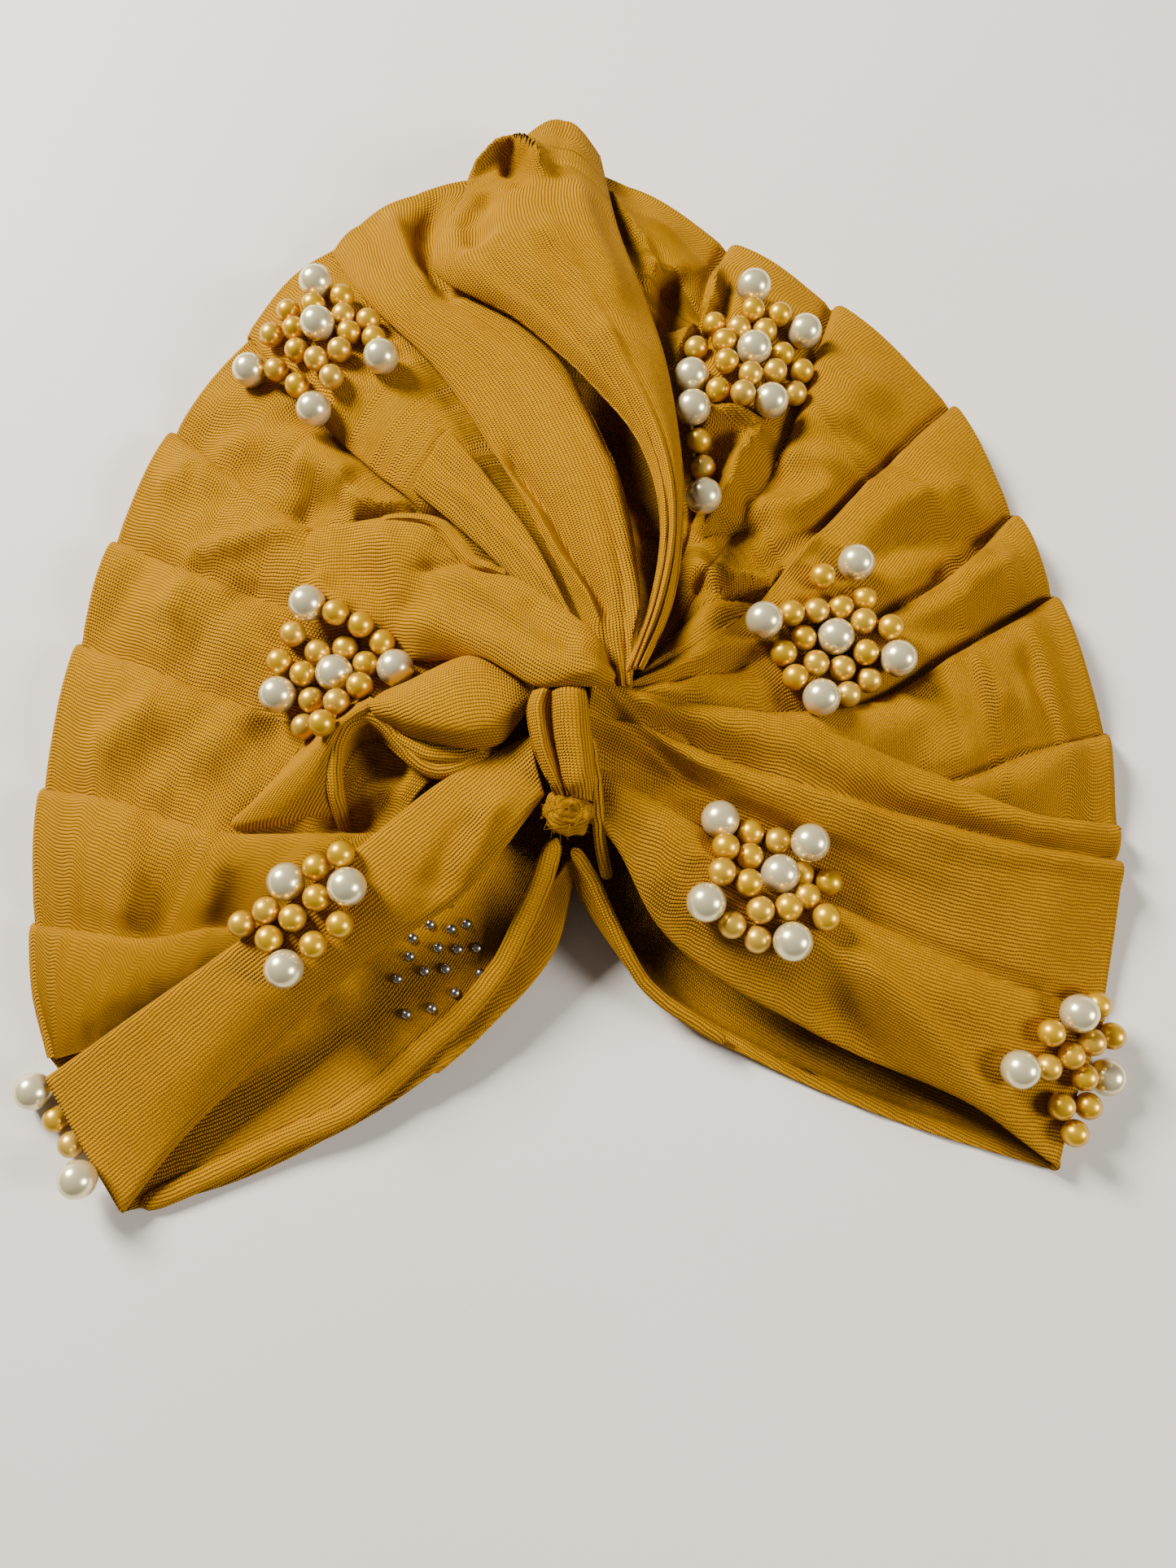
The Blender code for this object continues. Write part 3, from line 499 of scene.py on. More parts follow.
# Rolled strips: name, half width, half height, points
ROLLED_STRIPS = (
    ("left_hem_strap", 2.5, 1.5,
        ((-6.6, -16.8, 21.5), (-8.5, -21.5, 19.5), (-10.5, -26.9, 17), (-14, -34.3, 14),
         (-17.9, -41.9, 11.5), (-22.9, -48.5, 10), (-27.9, -53.8, 8.5), (-34.7, -59.6, 7),
         (-42, -66.2, 5.5), (-49.3, -72, 4.5), (-66.6, -79.7, 2.8), (-83.7, -87.6, 1.6),
         (-95.5, -92.8, 1.3))),
    ("right_hem_strap", 1.5, 1.2,
        ((-3.2, -18.8, 21), (1, -25.2, 17.5), (4.8, -33.2, 14.5), (8.5, -40.4, 12), (12.2, -46.2, 9.5),
         (16.1, -49.8, 8), (21.7, -53.5, 6.8), (30, -58.5, 4.5))),
    ("arch_roll", 1.9, 2.2,
        ((-53, -15, 9), (-53.6, -11, 14.5), (-54.3, -6.1, 19.5), (-54.3, -0.6, 22), (-52.9, 4.6, 24),
         (-50.2, 7.8, 25.2), (-46.7, 8.9, 25.6), (-42.8, 6.7, 25.6), (-39.5, 2.9, 25.2),
         (-36.3, -0.8, 24.8), (-33, -2.7, 24.8), (-29, -2.9, 25.2), (-24.7, -1.4, 26),
         (-20.2, 0.6, 27))),
    ("knot_tail", 1.4, 0.9,
        ((0.3, 2, 34), (1.0, -3, 32.2), (1.7, -8.4, 29.6), (2.1, -13.6, 26.6), (2.8, -19, 22.5),
         (4.2, -25, 17.5))),
)

# Bead clusters: name, places of the pearls, places of the gold beads
CLUSTERS = (
    ("crown_left",
        ((-65.5, 120), (-63.5, 107), (-81, 99), (-48, 96.5), (-64, 85.5)),
        ((-59, 116), (-72, 113), (-65.5, 113.5), (-58, 110.5), (-53, 109.5), (-76, 107.5),
         (-70, 107.5), (-56.5, 105), (-50.5, 103.5), (-69, 101.5), (-74.5, 98), (-58, 99),
         (-63.5, 97.5), (-68.5, 92.5), (-59.5, 92))),
    ("crown_right",
        ((39.5, 117), (51, 107), (39, 100), (24, 92.5), (42, 85.5)),
        ((38.5, 110.5), (45, 108.5), (30, 108), (36, 106.5), (42.5, 106), (25.5, 101), (32, 101.5),
         (46, 100), (50.5, 96.5), (32, 95), (43.5, 94), (37.5, 92), (48.5, 90), (30, 88), (35.5, 86))),
    ("side_left",
        ((-61.5, 35), (-55, 19.5), (-42, 20.5), (-67.5, 15)),
        ((-55, 32.5), (-49.5, 30), (-45.5, 26.5), (-65, 29), (-53.5, 26), (-59.5, 25), (-67.5, 22.5),
         (-48.5, 22), (-62, 19.5), (-49, 15.5), (-60, 13.5), (-53.5, 12), (-61.5, 8), (-56, 6.5))),
    ("side_right",
        ((59.5, 45), (38, 30), (54.5, 27.5), (67, 23), (50, 13.5)),
        ((51.5, 41), (61.5, 37.5), (56, 34.5), (50, 33.5), (44.5, 32.5), (60.5, 31), (65.5, 29.5),
         (47.5, 27.5), (61, 24), (42.5, 23.5), (49.5, 21.5), (55.5, 21), (61.5, 18.5), (45, 18),
         (56.5, 15.5))),
    ("band_left",
        ((-63, -26.5), (-49.5, -27.5), (-62.5, -44)),
        ((-51, -21.5), (-56.5, -23.5), (-56, -30), (-66.5, -32.5), (-61, -34), (-72, -35),
         (-65.5, -38.5), (-51, -35.5), (-56.5, -39.5))),
    ("band_right",
        ((28, -13.5), (39, -24.5), (24, -31.5), (41, -39), (46, -18.5)),
        ((29, -19.5), (34.5, -16), (34, -21.5), (40, -17.5), (45, -24.5), (27.5, -25.5), (32.5, -27.5),
         (50.5, -26), (45, -30), (41, -32.5), (35, -33), (29.5, -36), (34.5, -38.5), (48.5, -34))),
    ("corner_right",
        ((103.5, -53), (89.5, -64.5), (112, -66)),
        ((97, -57), (109.5, -51), (112, -57.5), (106.5, -59), (102, -61.5), (96.5, -64), (105, -66),
         (99.5, -72), (106.5, -72), (102.5, -77.5))),
    ("corner_left", ((-119.5, -69), (-106.5, -86.8)), ((-114.4, -74.8), (-110.6, -80))),
    ("behind_drape", ((24, 83), (26, 61)), ((25.5, 76.5), (26.5, 70.5))),
)

# Small metal rivets on the inside of the lower wall
RIVETS = (
    (-34.5, -33.5), (-38.3, -36.4), (-29.8, -34.6), (-26.4, -33.5), (-38.8, -40.4), (-32.6, -38.6),
    (-28.2, -39.0), (-24.0, -38.8), (-35.4, -43.6), (-41.4, -45.2), (-30.8, -43.2), (-23.3, -44.2),
    (-28.6, -48.3), (-33.6, -51.6), (-39.2, -52.8), (-31.0, -28.4),
)

# Where pleats fade out along their line, as shares from the outline. A pleat that isn't listed
# runs to the end of its line.
FADES = {
    ("left_pleats", "crown tuck"): (0.66, 0.76),
    ("left_pleats", "first pleat"): (0.48, 0.66),
    ("left_pleats", "second pleat"): (0.48, 0.62),
    ("left_pleats", "third pleat"): (0.50, 0.62),
    ("left_pleats", "fourth pleat"): (0.85, 1.0),
    ("right_pleats", "crown tuck"): (0.50, 0.65),
    ("right_pleats", "first pleat"): (0.36, 0.50),
    ("right_pleats", "second pleat"): (0.60, 0.80),
    ("right_pleats", "third pleat"): (0.48, 0.62),
    ("right_pleats", "fourth pleat"): (0.66, 0.82),
    ("right_pleats", "fifth pleat"): (0.42, 0.58),
    ("right_band", "seventh pleat"): (0.90, 1.0),
}

# Where a free edge grows along its line, as shares from its first point
RISES = {
    ("twist_wrap", "upper edge"): (0.08, 0.2),
    ("twist_wrap", "lower edge"): (0.32, 0.42),
}

# Cloth pieces: node, fold lines, height of the rolled edge at the first line and at the last,
# pleat height for each unit of step, rows along, cells across each strip, roll at the outline,
# ripple, how deep the two ends go below the cloth beside them, how it is held, what is below it
Cloth = namedtuple(
    "Cloth", "node folds first last pleat rows cells rolled ripple sunk held rests_on"
)
CLOTH = (
    Cloth("left_pleats", LEFT_PLEATS, 0, 0, 2.3, 130, 12, True, 1.0, (0, 0), "gathered", "back_panel"),
    Cloth("right_pleats", RIGHT_PLEATS, 0, 0, 2.6, 130, 12, True, 1.0, (0, 0), "gathered", "back_panel"),
    Cloth("right_band", RIGHT_BAND, 2.0, 2.2, 2.2, 150, 8, True, 0.5, (0, 3), "folded", "right_pleats"),
    Cloth("left_band", LEFT_BAND, 2.4, 2.4, 1.0, 150, 18, False, 0.35, (0, 0), "folded", "left_pleats"),
    Cloth(
        "under_drape", UNDER_DRAPE, 1.8, 1.8, 1.0, 150, 12, True, 0.35, (0, 1.5), "gathered", "left_pleats",
    ),
    Cloth("drape_strip", DRAPE_STRIP, 1.4, 1.4, 1.0, 80, 8, False, 0.1, (0, 0), "folded", "left_pleats"),
    Cloth("over_drape", OVER_DRAPE, 2.0, 2.0, 1.0, 160, 12, True, 0.4, (0, 1.5), "draped", "under_drape"),
    Cloth("twist_wrap", TWIST_WRAP, 2.0, 2.4, 1.0, 120, 12, False, 0.3, (4, 2.5), "folded", "left_pleats"),
    Cloth("twist_roll", TWIST_ROLL, 0.5, 2.4, 1.0, 60, 12, False, 0.12, (0.5, 2), "folded", "left_pleats"),
    Cloth(
        "roll_beneath", ROLL_BENEATH, 0.5, 2.2, 1.0, 60, 12, False, 0.1, (0.5, 3), "folded", "left_pleats",
    ),
    Cloth("sweep_roll", SWEEP_ROLL, 1.0, 1.2, 1.0, 80, 8, False, 0.05, (2.5, 2), "folded", "left_pleats"),
    Cloth("side_fold", SIDE_FOLD, 0.8, 0.8, 1.0, 60, 12, False, 0.15, (3.5, 0.5), "folded", "left_pleats"),
    Cloth("front_tongue", FRONT_TONGUE, 1.1, 1.1, 1.0, 60, 12, False, 0.08, (4, 2), "folded", "tie_knot"),
    Cloth("tongue_strand", TONGUE_STRAND, 1.2, 1.2, 1.0, 60, 12, False, 0.08, (2, 2), "folded", "tie_knot"),
)

# Creases, shadow lines and soft ridges of each piece: height, half width, points. One hollow
# beside the drape runs over both fans of pleats.
HOLLOW_BESIDE_DRAPE = (
    -9.5, 5.5, ((-1, 100), (9.5, 76), (14, 65), (17, 52), (17.5, 36), (16, 22)),
)
CREASES = {
    "left_pleats": (
        (-1.8, 3.0, ((-70, 62), (-62, 62.8), (-53, 61))),
        (2.6, 1.7, ((-57.7, 64), (-48.4, 61.2), (-40, 61.3))),
        (-3.8, 1.7, ((-55, 57.5), (-43, 58), (-28, 57.5))),
        (1.8, 2.4, ((-96.4, 49.4), (-89, 51.4), (-73.5, 54.2), (-62.3, 55.6))),
        (2.0, 4.5, ((-111.7, 3.3), (-102.8, 9.7), (-93.2, 16))),
        (-1.5, 4.5, ((-106, -6), (-93.7, 3.4), (-79, 14))),
        (-1.2, 4.0, ((-86, -8), (-75, 3), (-64, 16))),
        (-1.6, 5.0, ((-114, 31), (-107.9, 42.9), (-98, 54))),
        (1.8, 4.0, ((-96.2, 34.1), (-90.5, 45))),
        (-1.3, 4.5, ((-94, 22), (-84, 33), (-74, 44))),
        (-1.5, 4.0, ((-92, 68), (-76, 61), (-60, 57))),
        (1.4, 4.5, ((-102.5, 69.6), (-93.1, 72.7))),
        (-1.6, 4.0, ((-88, 80), (-72, 69), (-58, 60))),
        (2.2, 3.6, ((-68.7, 76), (-60.8, 71), (-53.2, 68))),
        (-1.6, 3.6, ((-72, 92), (-57, 79), (-42, 66))),
        (-1.0, 4.5, ((-96, -4), (-89, -20), (-92, -40))),
        (1.4, 3.6, ((-101, -8), (-97, -22), (-100, -36))),
        (1.3, 3.6, ((-84, -10), (-79, -22), (-82, -36))),
        (-1.0, 4.5, ((-78, -8), (-71, -22), (-64, -36))),
        (-2.4, 4.0, ((-59.8, -13.6), (-50.1, -11.8), (-39.6, -7.2))),
        (-3.6, 3.4, ((-49, 4), (-46, 0), (-38, -2))),
        (-1.4, 4.5, ((-98, 82), (-82, 88), (-66, 84))),
        HOLLOW_BESIDE_DRAPE,
    ),
    "twist_wrap": (
        (-1.4, 4.5, ((-57, 58), (-51.1, 44.3), (-44, 36), (-34, 29))),
        (-1.0, 4.0, ((-28, 54), (-36.5, 39.5), (-48, 22))),
        (1.1, 3.0, ((-46, 56), (-43, 44), (-40, 34))),
        (1.8, 2.4, ((-61, 44), (-58, 38), (-52, 33))),
        (-1.6, 1.6, ((-40, 42), (-26.7, 43.4), (-12, 38))),
        (-1.2, 2.4, ((-14, 32), (-8, 24), (-2, 17))),
    ),
    "right_pleats": (
        (3.2, 1.8, ((4, 156), (8, 145), (13.6, 134.5), (16.4, 127), (15, 119))),
        (-6.5, 4.5, ((19.5, 127.5), (22.5, 117), (20, 109))),
        (3.4, 1.7, ((32.3, 131), (29.4, 115), (24.3, 106.4), (18, 97))),
        (-3.0, 1.7, ((35.8, 129), (32.4, 113.6), (27, 104), (21, 96))),
        (2.8, 1.5, ((21.7, 83.7), (34, 83.3), (40.8, 80.8), (35.2, 73.6), (32, 65.4), (25.7, 55.6))),
        (-4.2, 3.0, ((24.4, 78.5), (32, 77.5), (29.5, 71.7), (26, 64.1), (21.6, 56.3))),
        (-2.6, 1.8, ((23.3, 51.6), (30.1, 56.4), (42, 55.3))),
        (2.0, 3.0, ((36, 61), (48, 61), (58, 66))),
        (3.0, 1.6, ((55.3, 56.3), (45.2, 45.6), (39.9, 41.6), (32.6, 42.4), (22.4, 48))),
        (-2.4, 1.8, ((40.5, 38.6), (32.4, 38.8), (22, 43.4))),
        (-1.8, 1.4, ((17.7, 31.6), (25.1, 36.9), (38, 41))),
        (-1.8, 3.2, ((50, 82), (62.1, 80), (72.6, 75), (86, 62))),
        (2.0, 3.0, ((42, 75), (56, 72), (70.8, 66))),
        (1.8, 2.8, ((64, 58), (78, 66), (92, 70))),
        (-2.0, 3.2, ((60, 47), (74, 54), (90, 58.5), (100, 58))),
        (-1.8, 3.0, ((64, 29), (78, 32), (96, 39), (108, 42))),
        (1.6, 4.0, ((82.3, 44.5), (101.6, 50.5))),
        (-1.8, 2.6, ((98, 30), (102, 20), (106, 6))),
        (1.8, 3.0, ((74, 26), (86, 24), (95, 12))),
        (-1.4, 1.5, ((16.5, 15.4), (23.9, 20.1), (36.7, 22.3))),
        HOLLOW_BESIDE_DRAPE,
    ),
    "right_band": (
        (2.4, 3.2, ((51.8, -38.2), (68.2, -55.3), (90.3, -78.4))),
        (-2.4, 3.4, ((44.8, -44.2), (60.5, -61.3), (79.8, -79.5))),
        (1.4, 2.4, ((35.4, -2.3), (48.6, -7.7), (65.7, -13.5), (87.9, -19.1))),
        (1.4, 1.3, ((1.1, 14.4), (6.8, 9.5), (13.2, 4.4), (21.2, -1.3), (33.4, -7.2))),
        (1.2, 1.2, ((-0.9, 13.3), (5.4, 7.2), (13.2, 1.3), (21.1, -6))),
        (-2.0, 1.3, ((1, 10.5), (9, 4.6), (17.5, -1.4), (27, -7))),
        (-2.4, 4.0, ((22, -13), (36, -24), (54, -32))),
    ),
    "left_band": (
        (-0.9, 3.0, ((-34, -30), (-29, -20), (-24, -12))),
        (1.0, 3.0, ((-27, -27), (-22, -18), (-18, -8))),
    ),
    "over_drape": (
        (4.2, 2.0, ((-30, 144), (-27, 151), (-22.5, 155), (-17.5, 155.6), (-13, 151.5), (-10.5, 143))),
        (-2.6, 3.0, ((-22, 149), (-18, 149), (-16.5, 145), (-17, 140))),
        (-3.4, 4.2, ((-25, 143), (-28, 134), (-25, 124))),
        (1.6, 3.0, ((-4, 146), (2, 124), (9, 104))),
        (-1.8, 3.0, ((-12, 126), (-4, 112), (5, 96))),
        (1.8, 2.0, ((-11, 131.7), (-4.2, 116.5), (2.3, 101.6), (8.8, 87))),
    ),
    "under_drape": (
        (2.2, 2.4, ((-50, 146), (-47, 136), (-43, 126), (-36, 114))),
        (-3.4, 3.2, ((-38, 150), (-40, 138), (-38, 126), (-30, 114))),
        (2.0, 1.3, ((-39, 66.1), (-28.9, 57.5), (-19.8, 48), (-9.9, 35.5), (-2.2, 24.2), (2.5, 18.2))),
        (2.4, 1.4, ((-23, 76), (-19.1, 67.2), (-12, 55.5), (-6.1, 43), (-0.3, 33.6), (4.4, 23.5))),
        (-2.8, 1.7, ((-19.5, 76), (-16.1, 67.2), (-9, 56), (-3.4, 44), (2, 34.6), (6, 24.5))),
        (2.2, 1.3, ((4, 72), (7.5, 63.5), (11.3, 52), (12.6, 41.6), (11.6, 31.5), (8.6, 21.5))),
        (-5.0, 2.6, ((-2, 94), (4.5, 80), (9.5, 66), (13, 52), (15, 38), (15, 26))),
    ),
    "drape_strip": (
        (1.2, 1.2, ((-36, 68), (-25, 58), (-14, 45), (-5, 31))),
    ),
}


def between(first, last, first_slope, last_slope, s, span=1):
    """Points at the shares s of a smooth curve from first to last, which are span apart."""
    start = (2 * s**3 - 3 * s**2 + 1) * first + (s**3 - 2 * s**2 + s) * span * first_slope
    end = (3 * s**2 - 2 * s**3) * last + (s**3 - s**2) * span * last_slope
    return start + end


def smooth_line(points, cells):
    """Evenly spaced points along a smooth curve through the given ones."""
    knots = np.array(points, float)
    gaps = np.linalg.norm(np.diff(knots, axis=0), axis=1)
    at = np.concatenate([[0.0], np.cumsum(gaps)]) / gaps.sum()
    slopes = np.gradient(knots, at, axis=0)
    wanted = np.linspace(0, 1, cells + 1)
    k = np.clip(np.searchsorted(at, wanted, side="right") - 1, 0, len(at) - 2)
    span = (at[k + 1] - at[k])[:, None]
    s = (wanted - at[k])[:, None] / span
    return between(knots[k], knots[k + 1], slopes[k], slopes[k + 1], s, span)


def across(lines, t):
    """Points at t, counted in fold lines, on smooth curves across the lines."""
    count = len(lines)
    slopes = np.gradient(lines, axis=0) if count > 2 else np.diff(lines, axis=0)[[0, 0]]
    k = np.clip(np.floor(t).astype(int), 0, count - 2)
    row = np.broadcast_to(np.arange(lines.shape[1]), t.shape)
    s = (t - k)[..., None]
    return between(lines[k, row], lines[k + 1, row], slopes[k, row], slopes[k + 1, row], s)


def eased(value, low, high):
    """0 below low and 1 above high, with a smooth turn between."""
    share = np.clip((value - low) / (high - low), 0, 1)
    return share * share * (3 - 2 * share)


def ripples(x, y, size, seed):
    """Soft irregular waves of about the given size, from about -1 to 1."""
    chance = np.random.default_rng(seed)
    total = 0
    for _ in range(WAVES):
        turn = chance.uniform(0, 2 * math.pi)
        wave = 2 * math.pi / (size * chance.uniform(*WAVE_SIZES))
        bend = chance.uniform(0, 2 * math.pi)
        total = total + np.sin(wave * (x * math.cos(turn) + y * math.sin(turn)) + bend)
    return total / WAVE_SUM


def crease(x, y, half_width, points):
    """About 1 on a line through the points, falling to 0 beside it and at both of its ends."""
    best = np.full(x.shape, np.inf)
    place = np.zeros(x.shape)
    done = 0.0
    route = np.array(points, float)
    for a, b in zip(route[:-1], route[1:]):
        way = b - a
        length = np.linalg.norm(way)
        share = np.clip(((x - a[0]) * way[0] + (y - a[1]) * way[1]) / length**2, 0, 1)
        away = (x - a[0] - share * way[0]) ** 2 + (y - a[1] - share * way[1]) ** 2
        place = np.where(away < best, done + share * length, place)
        best = np.minimum(best, away)
        done += length
    low, high = CREASE_ENDS
    ends = eased(np.minimum(place, done - place), low * done, high * done)
    if half_width > SOFT_WIDTH:
        return ends * np.exp(-best / half_width**2)
    fall = np.sqrt(CREASE_FALL * best / half_width**2 + CREASE_TIP**2)
    return ends * np.exp(CREASE_TIP - fall)


def edge_round(height, first_line, second_line):
    """The radius of a rolled edge at each row, as a share of the strip beside it."""
    width = np.linalg.norm(second_line - first_line, axis=1)
    return np.minimum(EDGE_ROUND * height, EDGE_SHARE * width) / width


def group_columns(lines, puffs, first, last, cells):
    """The columns of one layer between two edges. first and last are edge heights for each row."""
    strips = len(lines) - 1
    first_round = edge_round(first, lines[0], lines[1])
    last_round = edge_round(last, lines[-2], lines[-1])
    turns = np.radians(EDGE_TURNS)
    places = []
    lifts = []
    for turn in turns:
        places.append(first_round * (1 - math.cos(turn)))
        lifts.append(first * (1 + math.sin(turn)) / 2)
    for v in np.linspace(0, 1, strips * cells + 1):
        places.append(first_round + (strips - last_round - first_round) * v)
        blend = v * v * (3 - 2 * v)
        lifts.append(first * (1 - blend) + last * blend)
    for turn in turns[::-1]:
        places.append(strips - last_round * (1 - math.cos(turn)))
        lifts.append(last * (1 + math.sin(turn)) / 2)
    t = np.array(places)
    points = across(lines, t)
    k = np.clip(np.floor(t).astype(int), 0, strips - 1)
    points[..., 2] += np.array(puffs)[k] * np.abs(np.sin(np.pi * (t - k)))
    points[..., 2] += np.array(lifts)
    return points


def outline_roll(points):
    """The columns with a rolled edge added before their first row, down to the table."""
    outward = points[:, 0, :2] - points[:, OUTWARD_ROWS, :2]
    outward /= np.linalg.norm(outward, axis=1, keepdims=True)
    along = np.linspace(0, 1, points.shape[1])
    pull = np.maximum(0, 1 - along / OUTLINE_PULL) ** 2
    points[..., :2] -= OUTLINE_ROLL * pull[None, :, None] * outward[:, None, :]
    edge = points[:, 0]
    height = np.maximum(edge[:, 2] - OUTLINE_FOOT, 1) / OUTLINE_DROP
    rows = []
    for turn in np.radians(OUTLINE_TURNS):
        row = edge.copy()
        row[:, :2] += OUTLINE_ROLL * math.cos(turn) * outward
        row[:, 2] += height * (math.sin(turn) - 1)
        rows.append(row)
    return np.concatenate([np.array(rows).transpose(1, 0, 2), points], axis=1)


def risen(node, line, share):
    """How far a free edge has grown at each share of its line."""
    rise = RISES.get((node, line))
    return eased(share, *rise) if rise else np.ones_like(share)


def cloth_columns(piece):
    """The grid of a cloth piece, as columns of points along its fold lines."""
    folds = piece.folds
    lines = np.array([smooth_line(fold[3:], piece.rows) for fold in folds])
    share = np.linspace(0, 1, piece.rows + 1)
    start_depth, end_depth = piece.sunk
    start_sink = start_depth * (1 - eased(share, 0, SINK_SHARE))
    end_sink = end_depth * eased(share, 1 - SINK_SHARE, 1)
    lines[..., 2] -= start_sink + end_sink
    steps = []
    for fold in folds:
        fade = FADES.get((piece.node, fold[0]))
        kept = 1 - eased(share, *fade) if fade else np.ones_like(share)
        steps.append(piece.pleat * fold[1] * kept)
    steps[0] = steps[0] + piece.first * risen(piece.node, folds[0][0], share)
    steps[-1] = steps[-1] - piece.last * risen(piece.node, folds[-1][0], share)
    cuts = [0] + [k for k in range(1, len(folds) - 1) if folds[k][1]] + [len(folds) - 1]
    groups = []
    for a, b in zip(cuts[:-1], cuts[1:]):
        puffs = [fold[2] for fold in folds[a:b]]
        above = np.maximum(steps[a], 0)
        below = np.maximum(-steps[b], 0)
        groups.append(group_columns(lines[a : b + 1], puffs, above, below, piece.cells))
    points = np.concatenate(groups)
    return outline_roll(points) if piece.rolled else points


def knit_places(points):
    """Places on the knit, in millimetres along and across each column."""
    steps_along = np.linalg.norm(np.diff(points, axis=1), axis=2).mean(axis=0)
    along = np.concatenate([[0], np.cumsum(steps_along)])
    steps_across = np.linalg.norm(np.diff(points, axis=0), axis=2)
    sideways = np.concatenate([np.zeros((1, points.shape[1])), np.cumsum(steps_across, axis=0)])
    middle = sideways[sideways.shape[0] // 2]
    places = np.zeros((*points.shape[:2], 2))
    places[..., 0] = along[None, :]
    places[..., 1] = sideways - middle
    return places


def grid_faces(columns, rows):
    """The square faces between the columns of a grid."""
    corner = (np.arange(columns - 1)[:, None] * rows + np.arange(rows - 1)).ravel()
    return np.stack([corner, corner + rows, corner + rows + 1, corner + 1], axis=1).tolist()


def place_in_scene(name, data):
    """A new object with that mesh, light or camera, linked to the scene."""
    made = bpy.data.objects.new(name, data)
    bpy.context.scene.collection.objects.link(made)
    return made


def make_mesh(name, points, faces, material, places=None):
    """A smooth mesh object from points in the tables' millimetres."""
    moved = (points.reshape(-1, 3) + (*HAT_SHIFT, 0)) * MM
    mesh = bpy.data.meshes.new(name)
    mesh.from_pydata(moved.tolist(), [], faces)
    if places is not None:
        layer = mesh.uv_layers.new(name="knit")
        corners = np.zeros(len(mesh.loops), int)
        mesh.loops.foreach_get("vertex_index", corners)
        layer.data.foreach_set("uv", places.reshape(-1, 2)[corners].ravel())
    mesh.shade_smooth()
    mesh.materials.append(material)
    return place_in_scene(name, mesh)


def knit_mesh(name, points):
    """A mesh object of knit cloth over a grid of points."""
    faces = grid_faces(*points.shape[:2])
    return make_mesh(name, points, faces, knit_material(), knit_places(points))


def add_thickness(made):
    """Gives a grid of cloth its thickness, below the face that looks up."""
    thick = made.modifiers.new("thickness", "SOLIDIFY")
    thick.thickness = CLOTH_THICK * MM
    thick.offset = -1
    up = sum(face.normal.z for face in list(made.data.polygons)[::FACE_STEP])
    if up < 0:
        made.data.flip_normals()


def groove_route(fold):
    """The outer half of the shadow line beside a pleat, from outside the outline."""
    line = smooth_line(fold[3:], GROOVE_CELLS)[:GROOVE_TAKEN, :2] + (0, GROOVE_HALF_WIDTH)
    outside = 3 * line[0] - 2 * line[2]
    return np.vstack([outside, line])


def cloth_object(piece):
    """One cloth piece with its waves, shadow lines and creases, and its grid of points."""
    points = cloth_columns(piece)
    x, y = points[..., 0].copy(), points[..., 1].copy()
    inside = eased(np.arange(points.shape[1]), *RIPPLE_ROWS)[None, :]
    for size, share, seed in RIPPLES:
        waves = ripples(x, y, size, len(piece.node) + seed)
        points[..., 2] += share * piece.ripple * inside * waves
    for fold in piece.folds:
        if piece.rolled and fold[1] > 0:
            groove = crease(x, y, GROOVE_HALF_WIDTH, groove_route(fold))
            points[..., 2] -= GROOVE_DEPTH * groove
    for height, half_width, route in CREASES.get(piece.node, ()):
        points[..., 2] += CREASE_DEPTH * height * crease(x, y, half_width, route)
    points[..., 2] = np.maximum(points[..., 2], CLOTH_THICK + TABLE_GAP)
    made = knit_mesh(piece.node + "_cloth", points)
    add_thickness(made)
    return made, points


def declare_sheet(made, points):
    """Works out the length, width and area of a grid of cloth in metres, and does nothing more with them.
    """
    along = np.linalg.norm(np.diff(points, axis=1), axis=2).sum(axis=1).max() * MM
    sideways = np.linalg.norm(np.diff(points, axis=0), axis=2).sum(axis=0).max() * MM
    sideways = max(sideways, NARROWEST_SHEET)
    area = sum(face.area for face in made.data.polygons)
    area = min(max(area, LEAST_AREA * along * sideways), along * sideways)


def crown_outline():
    """The line where the lower wall meets the upper wall, from the left corner to the right one."""
    left = [fold[3][:2] for fold in reversed(LEFT_PLEATS[1:])]
    right = [fold[3][:2] for fold in RIGHT_PLEATS[1:-1]]
    band = [fold[3][:2] for fold in RIGHT_BAND[1:-1]]
    return [(x, y, 0) for x, y in (*left, *CROWN_TOP, *right, *band, RIGHT_END)]


def back_object():
    """The lower wall, its hem curling up to the knot, and its grid of points."""
    rails = (BACK_HEM, BACK_BULGE, BACK_FOOT, crown_outline())
    hem, bulge, foot, crown = [smooth_line(rail, BACK_ALONG) for rail in rails]
    lines = np.array([hem, bulge, foot, (foot + crown) / 2, crown])
    t = np.linspace(0, len(lines) - 1, BACK_ACROSS + 1)[:, None] * np.ones(BACK_ALONG + 1)
    points = across(lines, t)
    points[..., 2] = np.maximum(points[..., 2], 0) + BACK_LIFT
    x, y = points[..., 0].copy(), points[..., 1].copy()
    near_hem = 1 - eased(t, *HEM_FADE)
    waves = ripples(x, y, HEM_WAVE_SIZE, HEM_SEED)
    points[..., 2] += HEM_WAVE * near_hem * (waves + HEM_RISE)
    made = knit_mesh("back_cloth", points)
    add_thickness(made)
    return made, points


